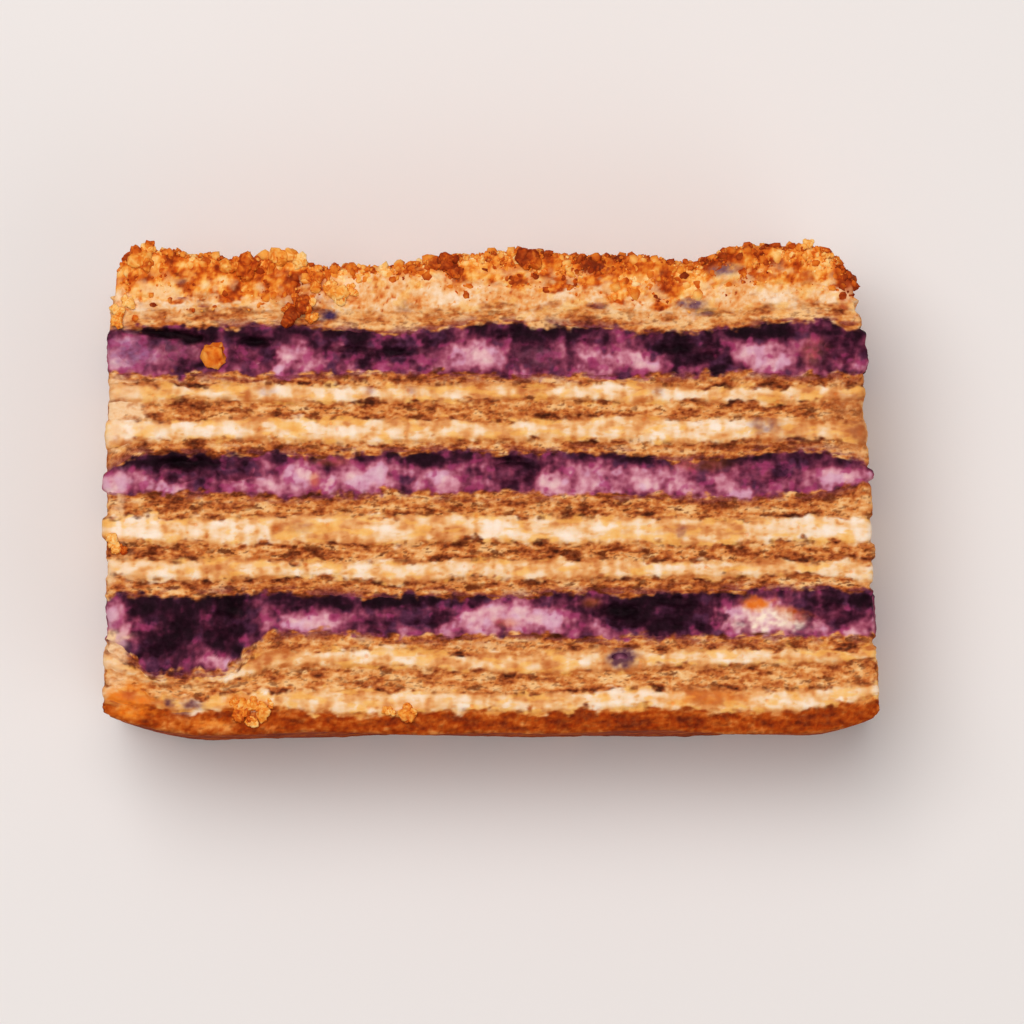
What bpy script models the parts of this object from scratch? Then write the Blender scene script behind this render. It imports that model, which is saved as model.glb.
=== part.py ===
"""A slice of layered honey cake with three blueberry cream fillings, lying on a cut side.

Metres, +Z up. +X runs along the slice, +Y from the bottom biscuit to the crumb topping, and
+Z from the cut side that it rests on to the cut face that shows. The origin is in the middle
of the footprint.

Every layer is lofted between two wavy sheets y = f(x, z). Neighbours share a sheet, so each
follows the other with the same narrow gap. Berries sit in pockets of their filling, and
crumbs are fused to the layer that they lie on.
"""

import math
import random

import bmesh
import bpy
from mathutils import Matrix, Vector

# The slice.
SLICE_DEPTH = 0.0350
STACK_BASE_Y = -0.0394
LAYER_GAP = 0.0003

# Layers from the bottom biscuit up: name, thickness, colour (8-bit sRGB), roughness.
LAYERS = (
    ("bottom_biscuit", 0.0034, (158, 66, 22), 0.80),
    ("cream_1", 0.0035, (246, 216, 178), 0.55),
    ("biscuit_1", 0.0035, (190, 104, 50), 0.85),
    ("cream_2", 0.0031, (240, 200, 150), 0.55),
    ("biscuit_2", 0.0022, (182, 100, 48), 0.85),
    ("blueberry_cream_low", 0.0062, (150, 84, 112), 0.45),
    ("biscuit_3", 0.0027, (184, 102, 48), 0.85),
    ("cream_3", 0.0031, (244, 206, 158), 0.55),
    ("biscuit_4", 0.0026, (188, 104, 50), 0.85),
    ("cream_4", 0.0045, (247, 218, 180), 0.55),
    ("biscuit_5", 0.0035, (186, 104, 52), 0.85),
    ("blueberry_cream_mid", 0.0064, (140, 76, 108), 0.45),
    ("biscuit_6", 0.0019, (184, 100, 46), 0.85),
    ("cream_5", 0.0037, (245, 208, 160), 0.55),
    ("biscuit_7", 0.0026, (190, 108, 56), 0.85),
    ("cream_6", 0.0029, (238, 192, 142), 0.55),
    ("biscuit_8", 0.0017, (180, 98, 46), 0.85),
    ("blueberry_cream_high", 0.0074, (116, 58, 88), 0.45),
    ("biscuit_9", 0.0029, (206, 132, 76), 0.85),
    ("cream_top", 0.0038, (236, 188, 140), 0.60),
    ("crumb_topping", 0.0050, (214, 122, 44), 0.80),
)

# Slow unevenness of a sheet: height, wavelength along the slice, wavelength into it.
SHEET_WAVES = (
    (0.00024, 0.058, 0.090),
    (0.00016, 0.027, 0.047),
)
SHEET_SEED = 11

# Where a sheet is pushed down by what lies on it: sheet, middle x, reach, drop, and how far
# into the slice it goes on. A sheet has the number of the layer above it.
THROUGH = 1.0
BERRY_BED = 0.013
DIPS = (
    (5, -0.0488, 0.0104, 0.0058, BERRY_BED),
    (4, -0.0488, 0.0104, 0.0048, BERRY_BED),
    (3, -0.0488, 0.0104, 0.0028, BERRY_BED),
    (2, -0.0488, 0.0104, 0.0008, BERRY_BED),
    (5, 0.0272, 0.0120, 0.0006, BERRY_BED),
    (4, 0.0206, 0.0050, -0.0004, BERRY_BED),
    (3, 0.0206, 0.0050, 0.0006, BERRY_BED),
    (0, -0.0400, 0.0150, 0.0004, THROUGH),
    (1, -0.0235, 0.0080, 0.0006, THROUGH),
    (2, -0.0120, 0.0200, 0.0004, THROUGH),
    (3, 0.0010, 0.0130, 0.0010, THROUGH),
    (4, -0.0020, 0.0120, 0.0008, THROUGH),
    (7, -0.0140, 0.0090, 0.0008, THROUGH),
    (10, 0.0400, 0.0120, 0.0007, THROUGH),
    (11, 0.0400, 0.0080, 0.0007, THROUGH),
    (12, 0.0340, 0.0070, 0.0010, THROUGH),
    (18, -0.0190, 0.0080, 0.0007, THROUGH),
    (18, 0.0000, 0.0070, -0.0008, THROUGH),
    (18, 0.0285, 0.0090, 0.0008, THROUGH),
    (18, 0.0490, 0.0070, -0.0014, THROUGH),
    (19, 0.0285, 0.0090, 0.0006, THROUGH),
    (19, 0.0490, 0.0070, -0.0010, THROUGH),
    (20, -0.0480, 0.0180, 0.0018, THROUGH),
    (20, -0.0160, 0.0080, -0.0018, THROUGH),
    (20, 0.0260, 0.0090, 0.0018, THROUGH),
    (21, -0.0545, 0.0050, -0.0007, THROUGH),
    (21, -0.0405, 0.0030, 0.0009, THROUGH),
    (21, -0.0325, 0.0035, -0.0009, THROUGH),
    (21, -0.0205, 0.0110, 0.0022, THROUGH),
    (21, 0.0050, 0.0050, -0.0006, THROUGH),
    (21, 0.0318, 0.0045, 0.0012, THROUGH),
    (21, 0.0460, 0.0090, -0.0014, THROUGH),
)

# Sheets that bend at an end of the slice: sheet, x where the bend starts, x where it has
# its full drop, drop. The topping rounds its corners and the bottom biscuit curls up.
BENDS = (
    (21, 0.0525, 0.0590, 0.0058),
    (20, 0.0515, 0.0590, 0.0026),
    (19, 0.0530, 0.0590, 0.0008),
    (12, 0.0520, 0.0600, 0.0020),
    (13, 0.0540, 0.0600, 0.0006),
    (11, 0.0500, 0.0580, -0.0014),
    (6, 0.0220, 0.0340, -0.0008),
    (3, 0.0460, 0.0600, -0.0012),
    (2, 0.0460, 0.0600, -0.0012),
    (1, 0.0460, 0.0600, -0.0021),
    (0, 0.0500, 0.0622, -0.0031),
    (21, -0.0555, -0.0600, 0.0026),
    (20, -0.0555, -0.0600, 0.0004),
    (13, -0.0540, -0.0605, 0.0012),
    (12, -0.0540, -0.0605, 0.0026),
    (2, -0.0500, -0.0610, -0.0008),
    (1, -0.0480, -0.0600, -0.0016),
    (0, -0.0465, -0.0622, -0.0033),
)
MOST_BEND = 1.1

# The ends lean, so the slice is a little longer at its bottom biscuit than at its topping.
LEFT_END = -0.0616
LEFT_LEAN = 0.012
RIGHT_END = 0.0604
RIGHT_LEAN = 0.048
END_JOG = 0.00030
END_WAVE = 0.00035
END_WAVE_LENGTH = 0.031
END_SEED = 5
END_STEPS = {
    "blueberry_cream_high": 0.0008,
    "blueberry_cream_mid": 0.0006,
    "cream_top": -0.0010,
    "crumb_topping": -0.0026,
}

# How far the cut face of each kind of layer stands out, and how full it is in the middle.
FACE_STANDS = {"biscuit": -0.00020, "cream": 0.00010, "blueberry": 0.00000, "crumb": 0.00010}
FACE_BULGES = {"biscuit": 0.0, "cream": 0.00025, "blueberry": 0.00030, "crumb": 0.00030}
FACE_JOG = 0.00012
FACE_SEED = 23

# Stations along the slice and into it; what lies beyond END_REGION is an end wall.
STATION_COUNT = 20
STATION_SPAN = 0.1240
END_REGION = 0.0048
DEPTH_STATIONS = (0.0, 0.56, 1.0)

# Berries in the cut face: name, filling, x, y, half length, half height.
BERRIES = (
    ("blueberry_high_1", "blueberry_cream_high", -0.0568, 0.0215, 0.0035, 0.0027),
    ("blueberry_high_2", "blueberry_cream_high", -0.0496, 0.0217, 0.0033, 0.0028),
    ("blueberry_high_3", "blueberry_cream_high", -0.0382, 0.0217, 0.0039, 0.0028),
    ("blueberry_high_4", "blueberry_cream_high", -0.0190, 0.0216, 0.0044, 0.0026),
    ("blueberry_high_5", "blueberry_cream_high", 0.0070, 0.0212, 0.0040, 0.0025),
    ("blueberry_high_6", "blueberry_cream_high", 0.0318, 0.0216, 0.0056, 0.0026),
    ("blueberry_high_7", "blueberry_cream_high", 0.0560, 0.0218, 0.0035, 0.0028),
    ("blueberry_mid_1", "blueberry_cream_mid", -0.0500, 0.0023, 0.0044, 0.0022),
    ("blueberry_mid_2", "blueberry_cream_mid", -0.0410, 0.0025, 0.0038, 0.0021),
    ("blueberry_mid_3", "blueberry_cream_mid", 0.0034, 0.0022, 0.0052, 0.0023),
    ("blueberry_mid_4", "blueberry_cream_mid", 0.0430, 0.0020, 0.0060, 0.0020),
    ("blueberry_low_1", "blueberry_cream_low", -0.0527, -0.0238, 0.0042, 0.0043),
    ("blueberry_low_2", "blueberry_cream_low", -0.0437, -0.0226, 0.0040, 0.0038),
    ("blueberry_low_3", "blueberry_cream_low", -0.0118, -0.0206, 0.0060, 0.0021),
    ("blueberry_low_4", "blueberry_cream_low", 0.0212, -0.0208, 0.0048, 0.0023),
    ("blueberry_low_5", "blueberry_cream_low", 0.0318, -0.0207, 0.0048, 0.0023),
    ("blueberry_low_6", "blueberry_cream_low", 0.0548, -0.0204, 0.0048, 0.0022),
    ("blueberry_small", "cream_2", 0.0206, -0.0273, 0.0020, 0.0010),
)
BERRY_RISE = 0.0008
BERRY_SINK = 0.0042
BERRY_GAP = 0.0003
BERRY_SEGMENTS = 10
BERRY_RINGS = 5
BERRY_COLOUR = (46, 20, 38)
BERRY_ROUGHNESS = 0.35

# Crumbs lying on the cut face: layer, x, y, radius.
LYING_CRUMBS = (
    ("blueberry_cream_high", -0.0443, 0.0212, 0.0017),
    ("biscuit_9", -0.0314, 0.0272, 0.0009),
    ("cream_top", -0.0242, 0.0306, 0.0013),
    ("cream_top", -0.0300, 0.0296, 0.0008),
    ("cream_1", -0.0266, -0.0341, 0.0012),
    ("bottom_biscuit", -0.0138, -0.0378, 0.0013),
)
LYING_SINK = 0.35
LYING_SEED = 41

# Crumbs of the topping: how many on its top, on its cut face and on its two ends.
TOP_CRUMBS = 86
FACE_CRUMBS = 24
END_CRUMBS = 5
CRUMB_LEAST = 0.0009
CRUMB_MOST = 0.0021
CRUMB_CLEARANCE = 0.0005
CRUMB_STRETCH = (0.78, 1.22)
CRUMB_REACH = 1.22
CRUMB_CHIP = (0.88, 1.0)
CRUMB_AXIS = (1.0, 0.4, 0.7)
TOP_CRUMB_RISE = -0.30
FACE_CRUMB_RISE = 0.10
CRUMB_FLOOR = 0.0002
CRUMB_SEED = 77
TRIANGLE = 3
UNIT = 1.0
SMOOTH_ANGLE = math.radians(40)


def linear(channel):
    """One 8-bit sRGB channel as a linear value."""
    share = channel / 255
    return share / 12.92 if share <= 0.04045 else ((share + 0.055) / 1.055) ** 2.4


def make_material(name, colour, roughness):
    """A Principled material of one plain colour."""
    material = bpy.data.materials.new(name)
    material.use_nodes = True
    shader = material.node_tree.nodes["Principled BSDF"]
    shader.inputs["Base Color"].default_value = (*map(linear, colour), 1.0)
    shader.inputs["Roughness"].default_value = roughness
    shader.inputs["Metallic"].default_value = 0.0
    return material


def clear_scene():
    """Removes the startup objects."""
    for obj in list(bpy.data.objects):
        bpy.data.objects.remove(obj, do_unlink=True)


def add_object(name, bm, collection):
    """Makes an object of the bmesh, which is freed."""
    mesh = bpy.data.meshes.new(name)
    bm.to_mesh(mesh)
    bm.free()
    obj = bpy.data.objects.new(name, mesh)
    collection.objects.link(obj)
    return obj


def kind_of(name):
    """The kind of a layer, such as biscuit or cream."""
    words = name.split("_")
    return "biscuit" if "biscuit" in words else words[0]


def sheet_levels():
    """Mean y of every sheet, from the underside of the bottom biscuit up."""
    levels = [STACK_BASE_Y]
    for _, thickness, _, _ in LAYERS:
        levels.append(levels[-1] + thickness)
    return levels


LEVELS = sheet_levels()


def sheet_y(sheet, x, z):
    """Y of one sheet at a place in the slice: its level, slow waves, dips and end bends."""
    turns = random.Random(SHEET_SEED + sheet)
    y = LEVELS[sheet]
    for height, along, into in SHEET_WAVES:
        y += height * math.sin(math.tau * (x / along + z / into + turns.random()))
    for index, middle, reach, drop, into in DIPS:
        if index == sheet:
            fade = math.exp(-(((SLICE_DEPTH - z) / into) ** 2))
            y -= drop * fade * math.exp(-(((x - middle) / reach) ** 4))
    for index, start, full, drop in BENDS:
        if index == sheet:
            share = min(max((x - start) / (full - start), 0.0), MOST_BEND)
            y -= drop * share**2
    return y


def end_x(layer, side, z):
    """X of the left (side -1) or right (side 1) end of a layer, at a height."""
    name = LAYERS[layer][0]
    jogs = random.Random(END_SEED + 2 * layer + side)
    middle = (LEVELS[layer] + LEVELS[layer + 1]) / 2
    jog = jogs.uniform(-END_JOG, END_JOG)
    wave = END_WAVE * math.sin(math.tau * (z / END_WAVE_LENGTH + jogs.random()))
    step = END_STEPS.get(name, 0.0)
    if side < 0:
        return LEFT_END + LEFT_LEAN * middle - jog - wave - min(step, 0.0)
    return RIGHT_END - RIGHT_LEAN * middle + jog + wave + step


def face_z(layer):
    """Height of the cut face of a layer."""
    jogs = random.Random(FACE_SEED + layer)
    return SLICE_DEPTH + FACE_STANDS[kind_of(LAYERS[layer][0])] + jogs.uniform(-FACE_JOG, FACE_JOG)


def add_sheet(bm, layer, sheet, offset):
    """Adds one grid of a layer, laid on a sheet and moved off it by the offset."""
    made = bmesh.ops.create_grid(
        bm, x_segments=STATION_COUNT, y_segments=len(DEPTH_STATIONS) - 1, size=UNIT
    )
    for vert in made["verts"]:
        column = round((vert.co.x + UNIT) / 2 * STATION_COUNT)
        row = round((vert.co.y + UNIT) / 2 * (len(DEPTH_STATIONS) - 1))
        z = DEPTH_STATIONS[row] * face_z(layer)
        x = (column / STATION_COUNT - 0.5) * STATION_SPAN
        if column in (0, STATION_COUNT):
            x = end_x(layer, -1 if column == 0 else 1, z)
        vert.co = Vector((x, sheet_y(sheet, x, z) + offset, z))
    quads = [face for face in bm.faces if len(face.verts) > TRIANGLE]
    bmesh.ops.triangulate(bm, faces=quads, quad_method="FIXED")
    return set(made["verts"])


def swell_walls(bm, lower, upper, layer, bulge):
    """Cuts the walls halfway up and moves the cut out, except on the side that rests."""
    posts = [
        edge
        for edge in bm.edges
        if (edge.verts[0] in lower and edge.verts[1] in upper)
        or (edge.verts[1] in lower and edge.verts[0] in upper)
    ]
    cut = bmesh.ops.subdivide_edges(bm, edges=posts, cuts=1)
    top = face_z(layer) - LAYER_GAP
    for vert in cut["geom_inner"]:
        if isinstance(vert, bmesh.types.BMVert):
            if vert.co.z > top:
                vert.co.z += bulge
            if abs(vert.co.x) > STATION_SPAN / 2 - END_REGION:
                vert.co.x += math.copysign(bulge, vert.co.x)


def make_layer(layer, collection):
    """Lofts one layer between its two sheets."""
    name, _, colour, roughness = LAYERS[layer]
    bm = bmesh.new()
    lower = add_sheet(bm, layer, layer, LAYER_GAP / 2)
    upper = add_sheet(bm, layer, layer + 1, -LAYER_GAP / 2)
    rims = [edge for edge in bm.edges if edge.is_boundary]
    bmesh.ops.bridge_loops(bm, edges=rims)
    bulge = FACE_BULGES[kind_of(name)]
    if bulge:
        swell_walls(bm, lower, upper, layer, bulge)
    bmesh.ops.recalc_face_normals(bm, faces=bm.faces)
    obj = add_object(name, bm, collection)
    obj.data.materials.append(make_material(name, colour, roughness))
    return obj


def add_ball(name, centre, half_axes, rise, collection):
    """A squashed ball: flatter above its middle by `rise`, deep below it."""
    bm = bmesh.new()
    bmesh.ops.create_uvsphere(
        bm, u_segments=BERRY_SEGMENTS, v_segments=BERRY_RINGS, radius=UNIT
    )
    long, high, deep = half_axes
    for vert in bm.verts:
        vert.co.x *= long
        vert.co.y *= high
        vert.co.z *= rise if vert.co.z > 0 else deep
    obj = add_object(name, bm, collection)
    obj.location = centre
    return obj


def sink_berry(berry, layers, visible, cutters):
    """Adds a berry and cuts its pocket into the filling around it."""
    name, filling, x, y, long, high = berry
    host = layers[filling]
    centre = (x, y, SLICE_DEPTH)
    deep = min(BERRY_SINK, long + high)
    obj = add_ball(name, centre, (long, high, deep), BERRY_RISE, visible)
    obj.data.materials.append(make_material(name, BERRY_COLOUR, BERRY_ROUGHNESS))
    gaps = [size + BERRY_GAP for size in (long, high, deep)]
    cutter = add_ball(f"{name}_pocket", centre, gaps, BERRY_RISE + BERRY_GAP, cutters)
    cutter.hide_render = True
    cutter.display_type = "WIRE"
    pocket = host.modifiers.new(cutter.name, "BOOLEAN")
    pocket.operation = "DIFFERENCE"
    pocket.solver = "EXACT"
    pocket.object = cutter
    return obj


def add_crumb(name, centre, radius, draws, collection):
    """An irregular crumb with twenty faces, stretched and turned at random."""
    bm = bmesh.new()
    bmesh.ops.create_icosphere(bm, subdivisions=1, radius=radius)
    stretch = Matrix.Diagonal([draws.uniform(*CRUMB_STRETCH) for _ in range(3)])
    turn = Matrix.Rotation(draws.uniform(0.0, math.tau), 3, Vector(CRUMB_AXIS))
    for vert in bm.verts:
        vert.co = turn @ (stretch @ vert.co) * draws.uniform(*CRUMB_CHIP) + Vector(centre)
    bmesh.ops.convex_hull(bm, input=bm.verts)
    return add_object(name, bm, collection)


def crumb_radius(draws):
    """A size for one crumb of the topping; small ones are the most frequent."""
    return CRUMB_LEAST + (CRUMB_MOST - CRUMB_LEAST) * draws.random() ** 2


def scatter_topping(layer, collection):
    """Scatters crumbs over the top, the cut face and the ends of the topping."""
    draws = random.Random(CRUMB_SEED)
    left = end_x(layer, -1, SLICE_DEPTH)
    right = end_x(layer, 1, SLICE_DEPTH)
    for index in range(TOP_CRUMBS + FACE_CRUMBS + 2 * END_CRUMBS):
        radius = crumb_radius(draws)
        reach = radius * CRUMB_REACH
        x = draws.uniform(left + radius, right - radius)
        z = draws.uniform(reach + CRUMB_FLOOR, SLICE_DEPTH - radius / 2)
        y = sheet_y(layer + 1, x, z) + radius * TOP_CRUMB_RISE
        if index >= TOP_CRUMBS:
            z = face_z(layer) + radius * FACE_CRUMB_RISE
            y = sheet_y(layer + 1, x, z) - draws.random() * (LAYERS[layer][1] - reach)
        if index >= TOP_CRUMBS + FACE_CRUMBS:
            z = draws.uniform(reach + CRUMB_FLOOR, SLICE_DEPTH)
            x = left if index % 2 else right
            y = sheet_y(layer + 1, x, z) - radius
        lowest = max(sheet_y(layer, x + shift, z) for shift in (-reach, 0.0, reach))
        y = max(y, lowest + reach + CRUMB_CLEARANCE)
        add_crumb(f"crumb_{index}", (x, y, z), radius, draws, collection)


def lay_crumbs(layer, collection):
    """Adds the crumbs that lie on the cut face of one layer. Returns how many there are."""
    draws = random.Random(LYING_SEED + layer)
    lying = [crumb for crumb in LYING_CRUMBS if crumb[0] == LAYERS[layer][0]]
    for index, (_, x, y, radius) in enumerate(lying):
        centre = (x, y, face_z(layer) + radius * LYING_SINK)
        add_crumb(f"lying_{layer}_{index}", centre, radius, draws, collection)
    return len(lying)


def islands_of(bm):
    """The connected bodies of a bmesh, each as a set of vertices."""
    left = set(bm.verts)
    found = []
    while left:
        island = set()
        reached = [left.pop()]
        while reached:
            vert = reached.pop()
            island.add(vert)
            near = {edge.other_vert(vert) for edge in vert.link_edges} & left
            left -= near
            reached.extend(near)
        found.append(island)
    return found


def keep_largest_body(obj):
    """Drops loose scraps and the shells of sealed hollows, so one closed body is left."""
    bm = bmesh.new()
    bm.from_mesh(obj.data)
    islands = sorted(islands_of(bm), key=len)
    for island in islands[:-1]:
        bmesh.ops.delete(bm, geom=list(island), context="VERTS")
    bm.to_mesh(obj.data)
    bm.free()


def fuse_crumbs(obj, crumbs):
    """Unites a layer with the crumbs of a collection, which are then removed."""
    union = obj.modifiers.new("crumbs", "BOOLEAN")
    union.operation = "UNION"
    union.operand_type = "COLLECTION"
    union.collection = crumbs
    union.solver = "MANIFOLD"
    bpy.context.view_layer.update()
    graph = bpy.context.evaluated_depsgraph_get()
    united = bpy.data.meshes.new_from_object(obj.evaluated_get(graph), depsgraph=graph)
    obj.modifiers.remove(union)
    obj.data = united
    for crumb in list(crumbs.objects):
        bpy.data.objects.remove(crumb, do_unlink=True)
    keep_largest_body(obj)


def build():
    """Builds the slice: layers, their crumbs, and then the berries in their pockets."""
    clear_scene()
    root = bpy.context.scene.collection
    visible = bpy.data.collections.new("slice")
    cutters = bpy.data.collections.new("pocket_cutters")
    crumbs = bpy.data.collections.new("crumbs")
    for collection in (visible, cutters, crumbs):
        root.children.link(collection)
    layers = {}
    for layer, (name, _, _, _) in enumerate(LAYERS):
        layers[name] = make_layer(layer, visible)
        count = lay_crumbs(layer, crumbs)
        if name == "crumb_topping":
            scatter_topping(layer, crumbs)
            count += 1
        if count:
            fuse_crumbs(layers[name], crumbs)
    for berry in BERRIES:
        sink_berry(berry, layers, visible, cutters)
    root.children.unlink(crumbs)
    for obj in visible.objects:
        obj.data.shade_smooth()
        obj.data.set_sharp_from_angle(angle=SMOOTH_ANGLE)


build()
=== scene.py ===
"""A slice of layered honey cake: thin biscuits, cream, blueberry cream and a crumb topping.

The slice lies on one cut side, so the opposite cut side faces up. +X runs along it, +Y from
the bottom biscuit to the crumb topping, +Z up. All sizes are in metres.

Every layer is a closed skin worked out on a grid: rings round the slice, from one sheet of
the stack to the next. Neighbouring layers share a sheet and the height of the cut at it, so
no gap shows between them. What each place is made of is worked out on the same grid, where
one stuff spills raggedly over the next, and is stored as attributes that the finishes read.
"""

import logging
import math
import random
from collections.abc import Iterable, Mapping, Sequence
from dataclasses import dataclass, field
from enum import Enum
from functools import cache
from itertools import product

import bpy
import numpy as np
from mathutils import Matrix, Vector


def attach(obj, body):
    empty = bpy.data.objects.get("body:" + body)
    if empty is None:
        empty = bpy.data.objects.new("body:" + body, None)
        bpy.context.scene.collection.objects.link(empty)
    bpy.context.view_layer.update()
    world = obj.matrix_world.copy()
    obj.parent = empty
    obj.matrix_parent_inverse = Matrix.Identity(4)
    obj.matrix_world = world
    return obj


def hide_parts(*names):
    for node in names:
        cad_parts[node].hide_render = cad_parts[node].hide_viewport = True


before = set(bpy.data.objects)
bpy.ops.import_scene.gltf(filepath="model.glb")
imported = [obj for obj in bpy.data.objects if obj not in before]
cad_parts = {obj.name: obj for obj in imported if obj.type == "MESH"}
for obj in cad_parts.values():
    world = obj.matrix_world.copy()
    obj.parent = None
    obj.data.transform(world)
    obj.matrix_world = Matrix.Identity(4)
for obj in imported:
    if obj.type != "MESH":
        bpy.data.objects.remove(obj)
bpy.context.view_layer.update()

log = logging.getLogger("honey_cake")

Array = np.ndarray
Colour = tuple[int, int, int]
MM = 0.001
BODY = "root"


# ---- small maths


def ease(value: Array | float, low: float, high: float) -> Array:
    """Smooth step: 0 below low, 1 above high, and 3t^2 - 2t^3 between them."""
    share = np.clip((value - low) / (high - low), 0.0, 1.0)
    return share * share * (3.0 - 2.0 * share)


def to_linear(shares: Array) -> Array:
    """sRGB shares, from 0 to 1, as linear light."""
    return np.where(shares <= 0.04045, shares / 12.92, ((shares + 0.055) / 1.055) ** 2.4)


def linear(colour: Colour) -> tuple[float, ...]:
    """An 8-bit sRGB colour as linear RGBA."""
    return (*map(float, to_linear(np.array(colour) / 255)), 1.0)


def metres(*millimetres: float) -> tuple[float, ...]:
    """Millimetres as metres, to the nearest tenth of a micrometre."""
    return tuple(round(value / 1000, 7) for value in millimetres)


def cell_size(along: float, across: float) -> tuple[float, float, float]:
    """Sizes of a noise cell, from millimetres along the layers and across them."""
    return along * MM, across * MM, along * MM


@dataclass
class Grain:
    """Gradient noise that fills space, from a seeded table of slopes.

    Formula in words: every corner of a cubic lattice has a random slope. The value at a
    point is what the slopes of its cell's eight corners predict there, blended with the
    quintic ease 6t^5 - 15t^4 + 10t^3 along each axis.
    """

    seed: int
    order: Array = field(init=False)
    slopes: Array = field(init=False)

    SIZE = 256
    GAIN = 1.7
    OCTAVE_SHIFT = 0.137
    SEED_REACH = 0.45
    FAR = 9.0

    def __post_init__(self) -> None:
        """Draws the table."""
        draws = np.random.default_rng(self.seed)
        self.order = draws.permutation(self.SIZE)
        slopes = draws.normal(size=(self.SIZE, 3))
        self.slopes = slopes / np.linalg.norm(slopes, axis=1, keepdims=True)

    def corner(self, cell: Array) -> Array:
        """Table place of each lattice corner.

        Args:
            cell: Whole numbers of the corners, with x, y and z last.

        Returns:
            A place below SIZE for every corner.
        """
        mask = self.SIZE - 1
        first = self.order[cell[..., 0] & mask]
        second = self.order[(first + cell[..., 1]) & mask]
        return self.order[(second + cell[..., 2]) & mask]

    def waves(self, points: Array, lengths: float | Sequence[float]) -> Array:
        """One layer of noise.

        Args:
            points: Places, with x, y and z last.
            lengths: Size of a lattice cell, one number or one for each axis.

        Returns:
            About -1 to 1 at every point.
        """
        place = points / np.asarray(lengths)
        cell = np.floor(place).astype(np.int64)
        inside = place - cell
        blend = inside**3 * (inside * (inside * 6.0 - 15.0) + 10.0)
        total = np.zeros(place.shape[:-1])
        for shift in product((0, 1), repeat=3):
            step = np.array(shift)
            slope = self.slopes[self.corner(cell + step)]
            value = ((inside - step) * slope).sum(-1)
            weight = np.where(step, blend, 1.0 - blend).prod(-1)
            total += value * weight
        return total * self.GAIN

    def cloud(self, points: Array, lengths: float | Sequence[float], octaves: int = 3) -> Array:
        """Several layers of noise, each half as large and half as strong as the last.

        Args:
            points: Places, with x, y and z last.
            lengths: Size of the largest lattice cells, one number or one for each axis.
            octaves: How many layers there are.

        Returns:
            About -1 to 1 at every point.
        """
        sizes = np.asarray(lengths, float)
        total = np.zeros(points.shape[:-1])
        for octave in range(octaves):
            shifted = points + octave * self.OCTAVE_SHIFT
            total += self.waves(shifted, sizes / 2**octave) / 2**octave
        return total / (2.0 - 0.5 ** (octaves - 1))

    def cells(self, points: Array, size: float) -> tuple[Array, Array]:
        """Cell noise: one seed point lies in every lattice cell.

        Args:
            points: Places, with x, y and z last.
            size: Size of a lattice cell.

        Returns:
            The distance to the nearest seed point in cells, and that seed's own random tone.
        """
        place = points / size
        cell = np.floor(place).astype(np.int64)
        best = np.full(place.shape[:-1], self.FAR)
        tone = np.zeros(place.shape[:-1])
        for shift in product((-1, 0, 1), repeat=3):
            near = cell + np.array(shift)
            key = self.corner(near)
            seed = near + 0.5 + self.SEED_REACH * self.slopes[key]
            away = np.linalg.norm(place - seed, axis=-1)
            closer = away < best
            best = np.where(closer, away, best)
            tone = np.where(closer, key / self.SIZE, tone)
        return best, tone


@cache
def grain(seed: int) -> Grain:
    """The noise of a seed, drawn once."""
    return Grain(seed)


WARP = grain(301)
BROAD = grain(302)
SMALL = grain(303)


@dataclass(frozen=True)
class Blot:
    """A soft-edged patch on the cut face, in millimetres.

    Formula in words: amount times exp(-r^3), where r is the distance from its middle over
    its two reaches. The place is warped by noise, so the patch has a ragged edge.
    """

    x: float
    y: float
    wide: float
    high: float
    amount: float
    ragged: float = 0.35

    warp_cell_x = 2.6 * MM
    warp_cell_y = 1.9 * MM
    warp_shift = 0.05
    plain_reach = 1.7
    ragged_reach = 1.2

    def at(self, points: Array) -> Array:
        """The patch's value at every point.

        Args:
            points: Places, with x, y and z last.

        Returns:
            The value, strongest in the middle.
        """
        across = (points[..., 0] / MM - self.x) / self.wide
        along = (points[..., 1] / MM - self.y) / self.high
        across = across + self.ragged * WARP.cloud(points, self.warp_cell_x, 3)
        shifted = points + self.warp_shift
        along = along + self.ragged * WARP.cloud(shifted, self.warp_cell_y, 3)
        return self.amount * np.exp(-((across**2 + along**2) ** 1.5))

    def near(self, points: Array) -> Array:
        """Which points the patch may reach.

        Args:
            points: Places, with x, y and z last.

        Returns:
            Whether it may, for every point.
        """
        reach = self.plain_reach + self.ragged_reach * self.ragged
        across = abs(points[..., 0] / MM - self.x) < self.wide * reach
        along = abs(points[..., 1] / MM - self.y) < self.high * reach
        return across & along


def on_cut(shown: Array) -> Array:
    """1 on the cut face, falling to 0 where the skin turns away from it or lies below it."""
    return ease(shown, 0.2, 0.8)


def blots_at(patches: Iterable[Blot], points: Array, shown: Array) -> Array:
    """Sum of patches, on the cut face alone.

    Args:
        patches: The patches.
        points: Places on the skin or near it.
        shown: How far each place belongs to the cut face: how far the skin faces up there,
            or how near the place is to that face.

    Returns:
        The sum at every point.
    """
    total = np.zeros(points.shape[:-1])
    for blot in patches:
        near = blot.near(points)
        total[near] += blot.at(points[near])
    return total * on_cut(shown)


def blots(ragged: float, *rows: tuple[float, ...]) -> tuple[Blot, ...]:
    """Patches from rows of x, y, wide, high and amount, with a raggedness where it differs."""
    return tuple(Blot(*(*row, ragged)[:6]) for row in rows)


def stains(*rows: tuple[Colour | float, ...]) -> tuple[tuple[Colour, Blot], ...]:
    """Coloured patches from rows of a colour and a patch's six values."""
    return tuple((colour, Blot(*values)) for colour, *values in rows)


# ---- finishes


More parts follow.
